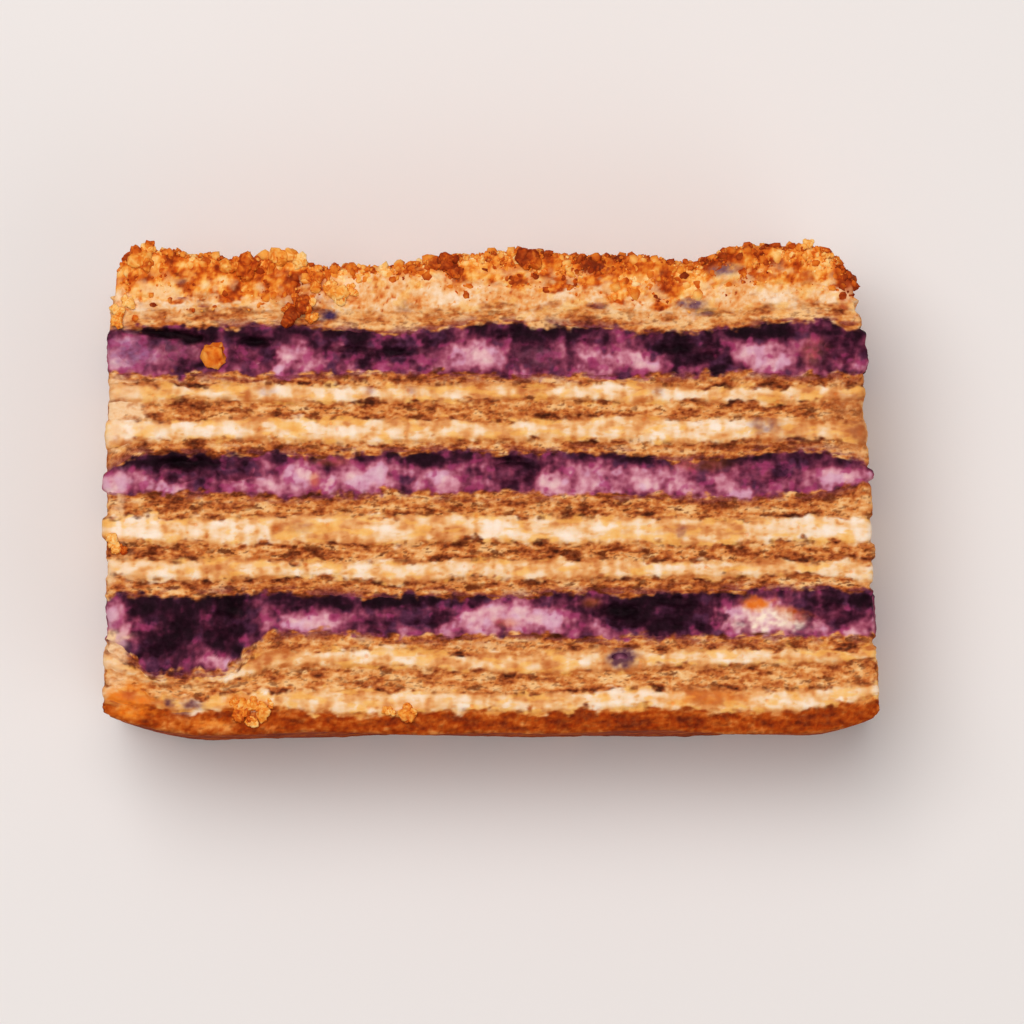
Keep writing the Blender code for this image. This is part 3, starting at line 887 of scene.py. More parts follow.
STAINS = {
    "bottom_biscuit": stains(
        (HONEY_ORANGE, -57.6, -36.2, 4.0, 1.1, 0.9, 0.7),
        (HONEY_ORANGE, -46.0, -38.0, 5.0, 0.8, 0.45, 0.7),
        (GREY_PURPLE, -49.4, -36.4, 1.8, 0.8, 0.55, 0.6),
    ),
    "blueberry_cream_low": stains(
        (PEACH_SMEAR, -61.0, -24.2, 3.0, 1.3, 1.1, 0.5),
        (WHITE_CREAM, 43.6, -21.4, 4.4, 1.9, 1.0, 0.9),
        (WHITE_CREAM, 49.4, -22.2, 2.0, 1.0, 0.8, 0.9),
        (ORANGE_BIT, 42.6, -18.8, 2.8, 1.1, 1.1, 1.3),
        (BAKED_RED, 48.4, -20.6, 2.4, 0.9, 0.7, 1.5),
        (PIT_BROWN, 43.6, -23.7, 2.4, 0.4, 0.8, 0.8),
    ),
    "blueberry_cream_high": stains(
        (SOFT_LILAC, -58.0, 21.2, 4.0, 2.4, 0.6, 0.6),
        (GREY_PURPLE, -50.6, 21.8, 3.4, 1.8, 0.35, 0.6),
        (GREY_PURPLE, 7.4, 20.8, 4.0, 1.6, 0.35, 0.6),
    ),
    # Painted shade: a thin dark line along the biscuit's lower edge.
    "biscuit_3": stains((PIT_BROWN, 44.0, -17.4, 4.0, 0.5, 0.7, 0.9)),
    "cream_1": stains(
        (HONEY_ORANGE, -58.2, -34.2, 4.4, 2.0, 1.2, 0.8),
        (BAKED_RED, -57.8, -33.2, 1.0, 1.2, 0.7, 0.7),
        (HONEY_ORANGE, -40.4, -34.8, 2.6, 1.4, 0.55, 0.7),
        (HONEY_ORANGE, -38.0, -36.0, 3.2, 1.0, 0.6, 0.7),
        (HONEY_ORANGE, 34.6, -33.9, 8.0, 1.0, 0.45, 0.8),
        (DARK_JUICE, -51.2, -34.4, 0.9, 0.7, 0.75, 0.7),
        (DARK_JUICE, -47.6, -35.0, 1.6, 0.8, 0.75, 0.7),
        (RED_JUICE, -49.0, -32.6, 0.6, 1.4, 0.5, 0.5),
    ),
    "cream_2": stains(
        (SOFT_PURPLE, 20.8, -27.5, 2.2, 1.6, 1.3, 0.4),
        (PEACH_SMEAR, -60.6, -29.0, 2.4, 1.4, 0.7, 0.5),
    ),
    "biscuit_1": stains(
        (SOFT_PURPLE, 20.8, -28.4, 2.0, 1.0, 0.8, 0.6),
        (PEACH_SMEAR, -60.0, -31.2, 2.4, 1.0, 0.7, 0.6),
        (HONEY_ORANGE, -57.2, -32.0, 2.6, 1.0, 0.6, 0.7),
    ),
    "biscuit_2": stains(
        (PEACH_SMEAR, -60.8, -26.2, 2.8, 1.8, 0.85, 0.5),
        (DARK_JUICE, -55.4, -26.6, 2.6, 2.4, 0.9, 0.5),
        # Painted shadow in the dark core of the fruit mass at the left.
        (DEEP_SHADOW, -54.8, -26.0, 1.8, 1.8, 0.7, 0.5),
        (RED_JUICE, -46.0, -30.4, 6.0, 0.7, 0.45, 0.6),
    ),
    "cream_top": stains(
        (RED_JUICE, -49.6, 30.4, 1.0, 0.6, 0.6, 0.6),
        (RED_JUICE, -46.2, 28.8, 1.0, 0.5, 0.45, 0.6),
        (GREY_PURPLE, 32.0, 29.3, 2.2, 0.8, 0.9, 0.6),
        (BAKED_RED, 56.6, 29.2, 0.8, 1.6, 0.7, 0.6),
        (RED_JUICE, 17.2, 29.0, 1.2, 0.6, 0.55, 0.6),
        (RED_JUICE, -31.0, 30.2, 4.0, 1.6, 0.25, 0.6),
    ),
    "biscuit_9": stains(
        (BLUE_SHEEN, -26.4, 27.4, 1.5, 0.9, 0.9, 0.6),
        (DARK_JUICE, 9.6, 26.8, 1.2, 0.6, 0.35, 0.6),
        (GREY_PURPLE, 34.4, 27.8, 1.4, 0.6, 0.5, 0.6),
    ),
    "biscuit_6": stains(
        (PEACH_SMEAR, -60.4, 6.8, 3.8, 1.6, 1.1, 0.9),
        (HONEY_BROWN, 58.6, 6.6, 2.8, 1.2, 0.6, 0.7),
    ),
    "biscuit_7": stains(
        (PEACH_SMEAR, -60.2, 12.4, 4.4, 2.6, 1.6, 0.8),
        (HONEY_BROWN, 57.4, 12.4, 4.0, 2.2, 0.85, 0.8),
    ),
    "biscuit_8": stains((PEACH_SMEAR, -60.4, 16.6, 4.0, 1.4, 0.75, 0.9)),
    "cream_6": stains(
        (PEACH_SMEAR, -59.6, 14.8, 5.0, 1.6, 0.7, 0.9),
        (HONEY_BROWN, 58.8, 13.6, 2.6, 1.4, 0.7, 0.8),
        (RED_JUICE, -36.0, 15.4, 1.6, 0.8, 0.28, 0.6),
        (RED_JUICE, -19.4, 15.6, 1.0, 0.9, 0.35, 0.6),
        (RED_JUICE, -12.8, 15.4, 0.8, 1.0, 0.4, 0.6),
        (GREY_PURPLE, 26.6, 15.2, 1.1, 0.8, 0.35, 0.6),
    ),
    "cream_4": stains(
        (RED_JUICE, 30.4, -7.2, 0.9, 1.2, 0.65, 0.6),
        (RED_JUICE, -30.6, -6.6, 2.0, 1.0, 0.22, 0.6),
    ),
    "cream_5": stains(
        (WHITE_CREAM, -59.0, 9.4, 4.6, 2.2, 0.85, 0.8),
        (HONEY_BROWN, 59.2, 9.6, 2.6, 3.0, 0.9, 0.8),
        (GREY_PURPLE, 44.0, 9.8, 2.6, 1.3, 0.5, 0.6),
        (GREY_PURPLE, 48.0, 7.6, 2.6, 0.8, 0.3, 0.6),
    ),
    "crumb_topping": stains(
        (GREY_PURPLE, 37.0, 34.8, 2.8, 0.9, 0.85, 0.7),
        (BAKED_RED, 50.8, 33.6, 1.0, 1.0, 0.7, 0.6),
        (BAKED_RED, 57.2, 32.0, 1.0, 2.2, 0.6, 0.6),
        (DARK_JUICE, -49.6, 32.6, 0.8, 0.6, 0.75, 0.7),
        (DARK_JUICE, 17.6, 35.0, 1.4, 0.5, 0.5, 0.7),
    ),
}


# ---- the skin


@dataclass
class Look:
    """What shows at many places: colour as sRGB shares, roughness, and own height."""

    colour: Array
    rough: Array
    height: Array

    def lay(
        self, colour: Colour | Array, mask: Array, rough: float | Array | None = None
    ) -> None:
        """Lays a colour over the look by a mask.

        Args:
            colour: One 8-bit colour, or an array of sRGB shares.
            mask: Share of the new colour at every place, from 0 to 1.
            rough: Roughness of what is laid on, where it differs.
        """
        new = np.array(colour) / 255 if isinstance(colour, tuple) else colour
        mask = np.clip(mask, 0.0, 1.0)
        self.colour = self.colour + (new - self.colour) * mask[..., None]
        if rough is not None:
            self.rough = self.rough + (rough - self.rough) * mask

    def fields(self) -> dict[str, Array]:
        """The attributes for a mesh, one row for each vertex."""
        return {"colour": to_linear(self.colour.reshape(-1, 3)), "rough": self.rough.ravel()}


@dataclass(frozen=True)
class Outline:
    """One ring round the slice in x and z, and which way it faces at every place."""

    side: Array
    z: Array
    face_x: Array
    face_z: Array
    tip: int

    half_length = 0.062
    round_up = 0.0011
    round_low = 0.0004
    corner_steps = 8

    @classmethod
    def make(cls, fine: float, end_fine: float, back_count: int) -> "Outline":
        """A rectangle with rounded upper corners.

        Formula in words: straight runs along the cut face, the right end, the underside
        and the left end, joined by quarter circles at the two upper corners and by small
        ones at the lower corners. x is kept as a side from -1 at the left end to 1.

        Args:
            fine: Step along the cut face, in metres.
            end_fine: Step along the ends, in metres.
            back_count: How many steps the underside has.

        Returns:
            The ring, starting at the left of the cut face.
        """
        half, depth, up, low = cls.half_length, STACK.depth, cls.round_up, cls.round_low
        front = np.linspace(-half + up, half - up, round(2 * half / fine))
        down = np.linspace(depth - up, low, round(depth / end_fine))
        back = np.linspace(half - low, -half + low, back_count)
        rise = np.linspace(low, depth - up, round(depth / end_fine))
        runs = [
            (front, depth, 0, 1),
            cls.corner(half - up, depth - up, up, 90, 0),
            (half, down, 1, 0),
            cls.corner(half - low, low, low, 0, -90),
            (back, 0.0, 0, -1),
            cls.corner(-half + low, low, low, 270, 180),
            (-half, rise, -1, 0),
            cls.corner(-half + up, depth - up, up, 180, 90),
        ]
        parts = [np.broadcast_arrays(*[np.asarray(v, float) for v in run]) for run in runs]
        x, z, face_x, face_z = (np.concatenate(column) for column in zip(*parts))
        tip = len(x) - cls.corner_steps - len(rise) // 2
        return cls(x / half, z, face_x, face_z, tip)

    @classmethod
    def corner(
        cls, x: float, z: float, radius: float, first: float, last: float
    ) -> tuple[Array, Array, Array, Array]:
        """A quarter circle without its two ends.

        Args:
            x: Where its middle lies along x.
            z: Where its middle lies along z.
            radius: Its radius.
            first: The angle that it starts from, in degrees.
            last: The angle that it goes to.

        Returns:
            Places in x and in z, and the facing in x and in z.
        """
        turn = np.radians(np.linspace(first, last, cls.corner_steps + 2)[1:-1])
        across, up = np.cos(turn), np.sin(turn)
        return x + radius * across, z + radius * up, across, up


def mesh_object(
    name: str,
    points: Array,
    corners: Array,
    starts: Array,
    fields: Mapping[str, Array],
    rims: Array | None = None,
) -> bpy.types.Object:
    """Puts whole arrays into a mesh.

    Args:
        name: The object's name.
        points: One row for each vertex.
        corners: The vertex at every face corner, face after face.
        starts: Where each face starts in corners.
        fields: Values or linear colours for every vertex, stored as attributes.
        rims: The number of the sharp rim that each vertex lies on, or -1. Edges within
            one rim are shaded sharp.

    Returns:
        The new object, shaded smooth.
    """
    mesh = bpy.data.meshes.new(name)
    mesh.vertices.add(len(points))
    mesh.vertices.foreach_set("co", points.astype(np.float32).ravel())
    mesh.loops.add(len(corners))
    mesh.loops.foreach_set("vertex_index", corners.astype(np.int32))
    mesh.polygons.add(len(starts))
    mesh.polygons.foreach_set("loop_start", starts.astype(np.int32))
    mesh.update(calc_edges=True)
    mesh.validate()
    mesh.shade_smooth()
    if rims is not None:
        ends = np.empty(2 * len(mesh.edges), np.int32)
        mesh.edges.foreach_get("vertices", ends)
        first, second = rims[ends.reshape(-1, 2)].T
        sharp = mesh.attributes.new("sharp_edge", "BOOLEAN", "EDGE")
        sharp.data.foreach_set("value", (first == second) & (first >= 0))
    for label, values in fields.items():
        if values.ndim == 2:
            attribute = mesh.attributes.new(label, "FLOAT_COLOR", "POINT")
            rgba = np.concatenate([values, np.ones((len(values), 1))], 1)
            attribute.data.foreach_set("color", rgba.astype(np.float32).ravel())
        else:
            attribute = mesh.attributes.new(label, "FLOAT", "POINT")
            attribute.data.foreach_set("value", values.astype(np.float32))
    obj = bpy.data.objects.new(name, mesh)
    bpy.context.scene.collection.objects.link(obj)
    return obj


def strip_across(ring: Array, first: int) -> Array:
    """Four-sided faces that close a narrow ring, each joining its two long sides.

    Formula in words: counted both ways from one tip of the ring, like places on the two
    sides are joined, so the faces lie across the ring.

    Args:
        ring: The ring's vertex numbers in order, an even count.
        first: The place of one tip in the ring.

    Returns:
        Four vertex numbers for each face.
    """
    turned = np.roll(ring, -first)
    ahead, back = turned[: len(ring) // 2], turned[::-1][: len(ring) // 2]
    return np.stack([ahead[:-1], ahead[1:], back[1:], back[:-1]], -1)


def skin_object(
    name: str, rings: Array, fields: Mapping[str, Array], tip: int, narrow: tuple[bool, bool]
) -> bpy.types.Object:
    """Joins rings to one closed skin: four-sided faces between rings, and a cap at each end.

    Args:
        name: The object's name.
        rings: Points, by ring, then place in the ring, then x, y and z.
        fields: Values for every point, stored as attributes.
        tip: The place of one tip of the ring.
        narrow: For the first and the last ring, whether it is narrow and is closed by a
            strip of faces. A wide one lies inside the slice and is closed by one face, and
            the ring next to it, where the skin turns inside, is sharp.

    Returns:
        The new object, shaded smooth.
    """
    ring_count, count = rings.shape[:2]
    here = np.arange(count)
    after = np.roll(here, -1)
    start = (np.arange(ring_count - 1) * count)[:, None]
    left, right = start + here, start + after
    quads = np.stack([left, right, right + count, left + count], -1).reshape(-1, 4)
    first_ring, last_ring = here[::-1], here + (ring_count - 1) * count
    points = rings.reshape(-1, 3)
    corners = points[quads]
    flux = np.cross(corners[:, 2] - corners[:, 0], corners[:, 3] - corners[:, 1])
    if (flux * corners.mean(1)).sum() < 0:
        quads, first_ring, last_ring = quads[:, ::-1], first_ring[::-1], last_ring[::-1]
    wide = []
    for ring, is_narrow in zip((first_ring, last_ring), narrow):
        if is_narrow:
            place = int(np.flatnonzero(ring % count == tip)[0])
            quads = np.concatenate([quads, strip_across(ring, place)])
        else:
            wide.append(ring)
    sizes = [4] * len(quads) + [count] * len(wide)
    starts = np.concatenate([[0], np.cumsum(sizes)[:-1]])
    rims = np.full(len(points), -1)
    for ring, is_narrow in zip((1, ring_count - 2), narrow):
        if not is_narrow:
            rims[ring * count : (ring + 1) * count] = ring
    corners = np.concatenate([quads.ravel(), *wide])
    return mesh_object(name, points, corners, starts, fields, rims)


# ---- the layers


@dataclass(frozen=True)
class Spill:
    """How one stuff spills over the next: how far, in what noise cells, how soft its edge."""

    reach: float
    lengths: tuple[float, float, float]
    width: float


SPILLS = {
    Kind.TOPPING: Spill(0.0044, cell_size(4.4, 3.0), 0.0007),
    Kind.SOAKED: Spill(0.0034, cell_size(4.0, 2.0), 0.0012),
    Kind.BERRY: Spill(0.0017, cell_size(2.8, 1.8), 0.00036),
}
PLAIN_SPILL = Spill(0.0018, cell_size(2.6, 1.4), 0.00042)


@dataclass
class LayerSkin:
    """The visible skin of one layer, from its lower sheet to its upper one."""

    index: int
    outline: Outline
    row: float
    lip: float = 0.0022
    edge: float = 0.00036
    cap_row: float = 0.00032

    finish = BISCUIT
    first_seed, seed_step = 1000, 17
    spill_seed, groove_seed, wander_seed = 900, 700, 800
    least_rows = 6
    rim_reach = 1.4
    least_groove, groove_swell, pit_depth, pits_elsewhere = 0.02, 0.06, 0.2, 0.6
    least_shown, upper_edge, lower_edge = 0.002, 0.96, 0.04
    line_wander, line_width, line_share = 0.00025, 0.0003, 0.7
    stain_share, stain_swing = 0.85, 0.9
    juice_share, juice_reach = 0.62, 1.1 * MM
    smear_ragged, smear_share, smear_on_topping = 4.0 * MM, 0.8, 0.3
    smear_x = (-0.0575, -0.061)
    smear_y = (-0.034, -0.03)
    broad_height, small_height = 0.2 * MM, 0.08 * MM
    foot = 1.5 * MM
    base_round, topping_round = 0.0009, 0.0016
    tuck_step = 0.06
    edge_fade, relief_fade = 0.1, 0.06

    @property
    def layer(self) -> Layer:
        """The layer's own values."""
        return LAYERS[self.index]

    def own(self, salt: int) -> Grain:
        """Noise of this layer's own."""
        return grain(self.first_seed + self.seed_step * self.index + salt)

    def stuff(self, points: Array, rise: Array, facing: Array) -> Look:
        """What the layer is made of, without its neighbours."""
        raise NotImplementedError

    def rim(self, rise: Array) -> Array:
        """1 at the two sheets, falling to 0 a little way inside."""
        near = np.minimum(rise, 1.0 - rise) * self.layer.thickness
        return np.exp(-((np.maximum(near, 0.0) / (self.rim_reach * self.edge)) ** 2))

    def shades(self, points: Array, facing: Array) -> Array:
        """The stated lighter and darker patches."""
        return blots_at(SHADES.get(self.layer.name, ()), points, facing)

    def spill(self, sheet: int, points: Array) -> tuple[Array, float]:
        """How far the stuff below a sheet spills up over it at the cut, in metres.

        Args:
            sheet: The sheet's number.
            points: Places on the skin.

        Returns:
            The spill, negative where the stuff above spills down, and the width over
            which one stuff fades into the other.
        """
        pair = {LAYERS[sheet - 1].kind, LAYERS[sheet].kind}
        found = next((SPILLS[kind] for kind in SPILLS if kind in pair), PLAIN_SPILL)
        clouds = grain(self.spill_seed + sheet).cloud(points, found.lengths, 3)
        return found.reach * clouds, found.width

    def crease(self, sheet: int, points: Array) -> tuple[Array, Array]:
        """The cut's groove at one sheet, shared by both layers.

        Formula in words: a shallow groove of uneven depth, with longer pits where a noise
        rises above a limit, in stretches along the sheet. The pits are painted dark as shade,
        fully under a biscuit and less elsewhere.

        Args:
            sheet: The sheet's number.
            points: Places on the skin, whose y doesn't count.

        Returns:
            The depth in metres, and the share of pit from 0 to 1, which is painted as shade.
        """
        flat = points * np.array([1.0, 0.0, 1.0])
        own = grain(self.groove_seed + sheet)
        slow = np.maximum(own.waves(flat, 2.8 * MM), 0.0)
        pits = ease(own.cloud(flat + 0.2, 1.7 * MM, 3), 0.1, 0.34)
        pits = pits * ease(own.waves(flat + 0.4, 8.0 * MM), -0.35, 0.3)
        kinds = {layer.kind for layer in LAYERS[max(sheet - 1, 0) : sheet + 1]}
        if Kind.SOAKED in kinds:
            return 0.0 * slow, 0.0 * pits
        under_biscuit = LAYERS[min(sheet, len(LAYERS) - 1)].kind is Kind.BISCUIT
        depth = (self.least_groove + self.groove_swell * slow + self.pit_depth * pits) * MM
        return depth, pits * (1.0 if under_biscuit else self.pits_elsewhere)

    def look(self, points: Array, facing: Array, low_away: Array, high_away: Array) -> Look:
        """What shows, with the neighbours' stuff spilled over the sheets.

        Args:
            points: Places on the skin.
            facing: How far the skin faces up.
            low_away: Distance above the lower sheet.
            high_away: Distance below the upper sheet.

        Returns:
            Colour, roughness and own height.
        """
        rise = low_away / np.maximum(low_away + high_away, 1e-6)
        look = self.stuff(points, rise, facing)
        sides = ((self.index - 1, low_away, 1.0), (self.index + 1, high_away, -1.0))
        for near, away, way in sides:
            if 0 <= near < len(LAYERS):
                sheet = max(self.index, near)
                reach, width = self.spill(sheet, points)
                shown = ease(way * reach - away, -width, width)
                place = shown > self.least_shown
                other = skin_of(near)
                edge = self.upper_edge if way > 0 else self.lower_edge
                edge_rise = np.full(place.sum(), edge)
                theirs = other.stuff(points[place], edge_rise, facing[place])
                mask = shown[place]
                old = look.colour[place]
                look.colour[place] = old + (theirs.colour - old) * mask[..., None]
                look.rough[place] += (theirs.rough - look.rough[place]) * mask
        # Painted shade: a thin dark brown line along each sheet, where its crease has pits.
        for sheet, away in ((self.index, low_away), (self.index + 1, high_away)):
            if 0 < sheet < len(LAYERS):
                _, pits = self.crease(sheet, points)
                own = grain(self.wander_seed + sheet)
                wander = self.line_wander * own.cloud(points, 1.2 * MM, 2)
                near_sheet = np.exp(-(((away + wander) / self.line_width) ** 2))
                look.lay(PIT_BROWN, self.line_share * pits * near_sheet)
        self.soak_in_juice(look, points, low_away, high_away)
        # Stated coloured patches: real stains and smears, and a few painted shadows and shade
        # lines.
        patchy = SMALL.cloud(points + 0.4, cell_size(1.2, 0.8), 2)
        uneven = self.stain_share + self.stain_swing * patchy
        for colour, blot in STAINS.get(self.layer.name, ()):
            look.lay(colour, blots_at((blot,), points, facing) * uneven)
        self.smear_left_end(look, points, facing)
        return look

    def soak_in_juice(
        self, look: Look, points: Array, low_away: Array, high_away: Array
    ) -> None:
        """Stains a biscuit red-brown next to a blueberry cream, in patches.

        Args:
            look: What shows, which is changed.
            points: Places on the skin.
            low_away: Distance above the lower sheet.
            high_away: Distance below the upper sheet.
        """
        if self.layer.kind is not Kind.BISCUIT:
            return
        patchy = ease(self.own(9).cloud(points, cell_size(3.4, 1.0), 3), -0.1, 0.24)
        for near, away in ((self.index - 1, low_away), (self.index + 1, high_away)):
            if LAYERS[near].kind is Kind.BERRY:
                fade = np.exp(-((away / self.juice_reach) ** 2))
                look.lay(RED_JUICE, self.juice_share * patchy * fade)

    def smear_left_end(self, look: Look, points: Array, facing: Array) -> None:
        """Draws cream raggedly over the left end of the cut face, above the lowest layers.

        Args:
            look: What shows, which is changed.
            points: Places on the skin.
            facing: How far the skin faces up.
        """
        warp = WARP.cloud(points, cell_size(2.4, 2.0), 3)
        ragged = points[..., 0] + self.smear_ragged * warp
        patchy = ease(BROAD.cloud(points + 0.6, cell_size(3.0, 5.0), 2), -0.1, 0.3)
        mask = self.smear_share * ease(ragged, *self.smear_x) * ease(facing, -0.2, 0.6) * patchy
        colour = PINK_SMEAR if self.layer.kind is Kind.BERRY else PEACH_SMEAR
        if self.layer.kind is Kind.TOPPING:
            mask = self.smear_on_topping * mask
        look.lay(colour, mask * ease(points[..., 1], *self.smear_y))

    def rows(self) -> Array:
        """Shares of the thickness at which rings lie."""
        count = max(self.least_rows, round(self.layer.thickness / self.row))
        return np.linspace(0.0, 1.0, count + 1)

    def rounding(self, away: Array, radius: float) -> Array:
        """How far a quarter-round edge is drawn in, at a distance below the edge."""
        share = np.clip(1.0 - away / radius, 0.0, 1.0)
        return radius * (1.0 - np.sqrt(np.maximum(1.0 - share**2, 0.0)))

    def relief(self, points: Array, low_away: Array, high_away: Array, own: Array) -> Array:
        """How far the skin stands out at each place.

        Formula in words: broad waves and small ones shared by the whole slice, less the
        grooves at both sheets, plus the layer's own height, which dies out at the sheets.

        Args:
            points: Places on the skin.
            low_away: Distance above the lower sheet.
            high_away: Distance below the upper sheet.
            own: The layer's own steps and texture.

        Returns:
            The height in metres.
        """
        low_near = np.exp(-((low_away / self.edge) ** 2))
        high_near = np.exp(-((high_away / self.edge) ** 2))
        shared = self.broad_height * BROAD.cloud(points, cell_size(15, 11), 2)
        shared = shared + self.small_height * SMALL.cloud(points, 1.3 * MM, 2)
        shared = shared - low_near * self.crease(self.index, points)[0]
        shared = shared - high_near * self.crease(self.index + 1, points)[0]
        return shared + (1.0 - low_near) * (1.0 - high_near) * own

    def rings(self) -> tuple[Array, Look]:
        """Works out all rings and what shows on them.

        Formula in words: a ring's mean place is the outline between the two ends at its
        y, which is blended from the lower sheet to the upper one. It then moves along the
        outline's facing by the relief. Where an end steps in far, the look is worked out
        again at the moved places.

        Returns:
            The rings with x, y and z last, and the look.
        """
        share = self.rows()[:, None]
        ring = self.outline
        side, z = ring.side[None, :], ring.z[None, :]
        y = np.full((len(share), len(ring.z)), STACK.level(self.index))
        for _ in range(2):
            x = STACK.end(side, y)
            low = STACK.sheet(self.index, x, z + 0 * x)
            high = STACK.sheet(self.index + 1, x, z + 0 * x)
            y = low + (high - low) * share
        points = np.stack([x, y, z + 0 * x], -1)
        facing = ring.face_z[None, :] + 0 * x
        low_away, high_away = share * (high - low), (1.0 - share) * (high - low)
        look = self.look(points, facing, low_away, high_away)
        right = STACK.end_step(self.index, 1, z) * np.maximum(ring.face_x, 0.0)
        left = STACK.end_step(self.index, -1, z) * np.maximum(-ring.face_x, 0.0)
        steps = STACK.face_step(self.index) * np.maximum(facing, 0.0) + right + left
        relief = self.relief(points, low_away, high_away, steps + look.height)
        relief = relief * ease(points[..., 2], 0.0, self.foot)
        if self.index == 0:
            relief = relief - self.rounding(low_away, self.base_round)
        if self.index == len(LAYERS) - 1:
            relief = relief - self.rounding(high_away, self.topping_round)
        moved = points.copy()
        moved[..., 0] += relief * ring.face_x
        moved[..., 2] = np.maximum(moved[..., 2] + relief * ring.face_z, 0.0)
        if self.layer.name in END_STEPS:
            look = self.look(moved, facing, low_away, high_away)
        return self.close(moved, look)

    def close(self, rings: Array, look: Look) -> tuple[Array, Look]:
        """Adds a ring inside each end of the skin, or a whole outer sheet.

        Args:
            rings: The rings so far.
            look: What shows on them.

        Returns:
            Both, with the added rings.
        """
        before, after = [self.tuck(rings[0], -1)], [self.tuck(rings[-1], 1)]
        if self.index == 0:
            before = self.outer_sheet(rings[0], 0)[::-1]
        if self.index == len(LAYERS) - 1:
            after = self.outer_sheet(rings[-1], len(LAYERS))
        rings = np.concatenate([np.stack(before), rings, np.stack(after)])
        parts = []
        for values in (look.colour, look.rough, look.height):
            first = np.repeat(values[:1], len(before), 0)
            last = np.repeat(values[-1:], len(after), 0)
            parts.append(np.concatenate([first, values, last]))
        look = Look(*parts)
        if self.index == 0:
            self.paint_sheet(rings[: len(before)], look, slice(0, len(before)))
        if self.index == len(LAYERS) - 1:
            self.paint_sheet(rings[-len(after) :], look, slice(-len(after), None))
        return rings, look

    def paint_sheet(self, points: Array, look: Look, place: slice) -> None:
        """Gives the outermost sheet its own look.

        Args:
            points: The sheet's places.
            look: What shows on the whole skin, which is changed.
            place: Which of its rings belong to the sheet.
        """
        flat = self.stuff(points, np.full(points.shape[:-1], 0.5), np.zeros(points.shape[:-1]))
        look.colour[place] = flat.colour
        look.rough[place] = flat.rough

    def tuck(self, ring: Array, way: int) -> Array:
        """A ring just inside the slice, level with the sheet, so no gap shows at it.

        Args:
            ring: The outermost ring at that sheet.
            way: -1 at the lower sheet, 1 at the upper one.

        Returns:
            The inner ring.
        """
        inner = ring.copy()
        inner[:, 0] -= self.lip * self.outline.face_x
        inner[:, 2] = np.maximum(inner[:, 2] - self.lip * self.outline.face_z, 0.0)
        inner[:, 1] += way * self.tuck_step * MM
        return inner

    def outer_sheet(self, ring: Array, sheet: int) -> list[Array]:
        """Rings that shrink to the middle of the outermost sheet.

        Formula in words: each ring is the last one drawn towards the sheet's middle line
        by a growing share, and its y is the sheet's there, plus the sheet's own relief.

        Args:
            ring: The outermost ring of the skin.
            sheet: The sheet's number.

        Returns:
            The rings, from the edge inwards.
        """
        count = round(STACK.depth / 2 / self.cap_row)
        middle = np.array([ring[:, 0].mean(), STACK.depth / 2])
        reach = ring[:, 0].max() - middle[0] - STACK.depth / 2
        line = np.clip(ring[:, 0], middle[0] - reach, middle[0] + reach)
        edge_y = ring[:, 1] - STACK.smooth_sheet(sheet, ring[:, 0], ring[:, 2])
        found = []
        for step in range(1, count):
            share = step / count
            x = ring[:, 0] + (line - ring[:, 0]) * share
            z = ring[:, 2] + (middle[1] - ring[:, 2]) * share
            fade = 1.0 - ease(share, 0.0, self.edge_fade)
            y = STACK.smooth_sheet(sheet, x, z) + edge_y * fade
            points = np.stack([x, y, z], -1)
            points[:, 1] += self.sheet_relief(points) * ease(share, 0.0, self.relief_fade)
            found.append(points)
        return found

    def sheet_relief(self, points: Array) -> Array:
        """Height of the outermost sheet's own texture, in metres."""
        return np.zeros(len(points))

    def dress(self) -> bpy.types.Object:
        """Builds the layer's object and gives it its finish.

        Returns:
            The finished object, standing for its solid.
        """
        rings, look = self.rings()
        narrow = (self.index == 0, self.index == len(LAYERS) - 1)
        tip = self.outline.tip
        obj = skin_object(f"{self.layer.name}_skin", rings, look.fields(), tip, narrow)
        obj.data.materials.append(finish_material(self.finish))
        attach(obj, BODY)
        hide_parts(self.layer.name)
        return obj


@dataclass
class Biscuit(LayerSkin):
    """A baked biscuit: crumbly, with flat pits that follow the layer."""

    finish = BISCUIT

    def pores(self, points: Array, grit: Array) -> Array:
        """Flat pits in clusters, with small dark dashes along the layer between them.

        Args:
            points: Places on the skin.
            grit: Fine noise, which frays the pits.

        Returns:
            How far each place lies in a pit, from 0 to 1.
        """
        flat = self.own(1).cloud(points, cell_size(2.4, 0.9), 3) + 0.25 * grit
        clusters = ease(self.own(4).waves(points, cell_size(5, 2.2)), -0.5, 0.3)
        dashes = ease(self.own(11).cloud(points, cell_size(1.2, 0.4), 2), 0.2, 0.4)
        pits = np.maximum(ease(flat, 0.16, 0.36) * clusters, 0.65 * dashes)
        return pits * (1.0 - 2.0 * max(self.layer.pale, 0.0))

    def stuff(self, points: Array, rise: Array, facing: Array) -> Look:
        """Streaks along the layer, gritty grains, pits in brown and painted shade, dark baked
        edges.

        Args:
            points: Places on the skin.
            rise: Share of the way up the layer.
            facing: How far the skin faces up.

        Returns:
            What shows.
        """
        grit = self.own(2).cloud(points, cell_size(0.9, 0.7), 2)
        streaks = self.own(3).cloud(points, cell_size(3.0, 1.0), 3)
        slow = self.own(5).waves(points, cell_size(6, 2.4))
        pores = self.pores(points, grit)
        baked = ease(self.own(8).cloud(points, cell_size(2.6, 1.4), 2), -0.05, 0.25)
        tone = 0.62 + self.layer.pale + 0.92 * streaks + 0.44 * grit + 0.38 * slow
        tone = tone - 0.42 * baked * self.rim(rise) + self.shades(points, facing)
        height = (0.12 * streaks + 0.14 * grit - 0.14 * pores) * MM
        look = Look(self.finish.paint(tone), np.full(tone.shape, self.finish.roughness), height)
        # The pits' own brown, which also stands in for the shade inside them.
        look.lay(PIT_BROWN, 0.8 * pores)
        return look


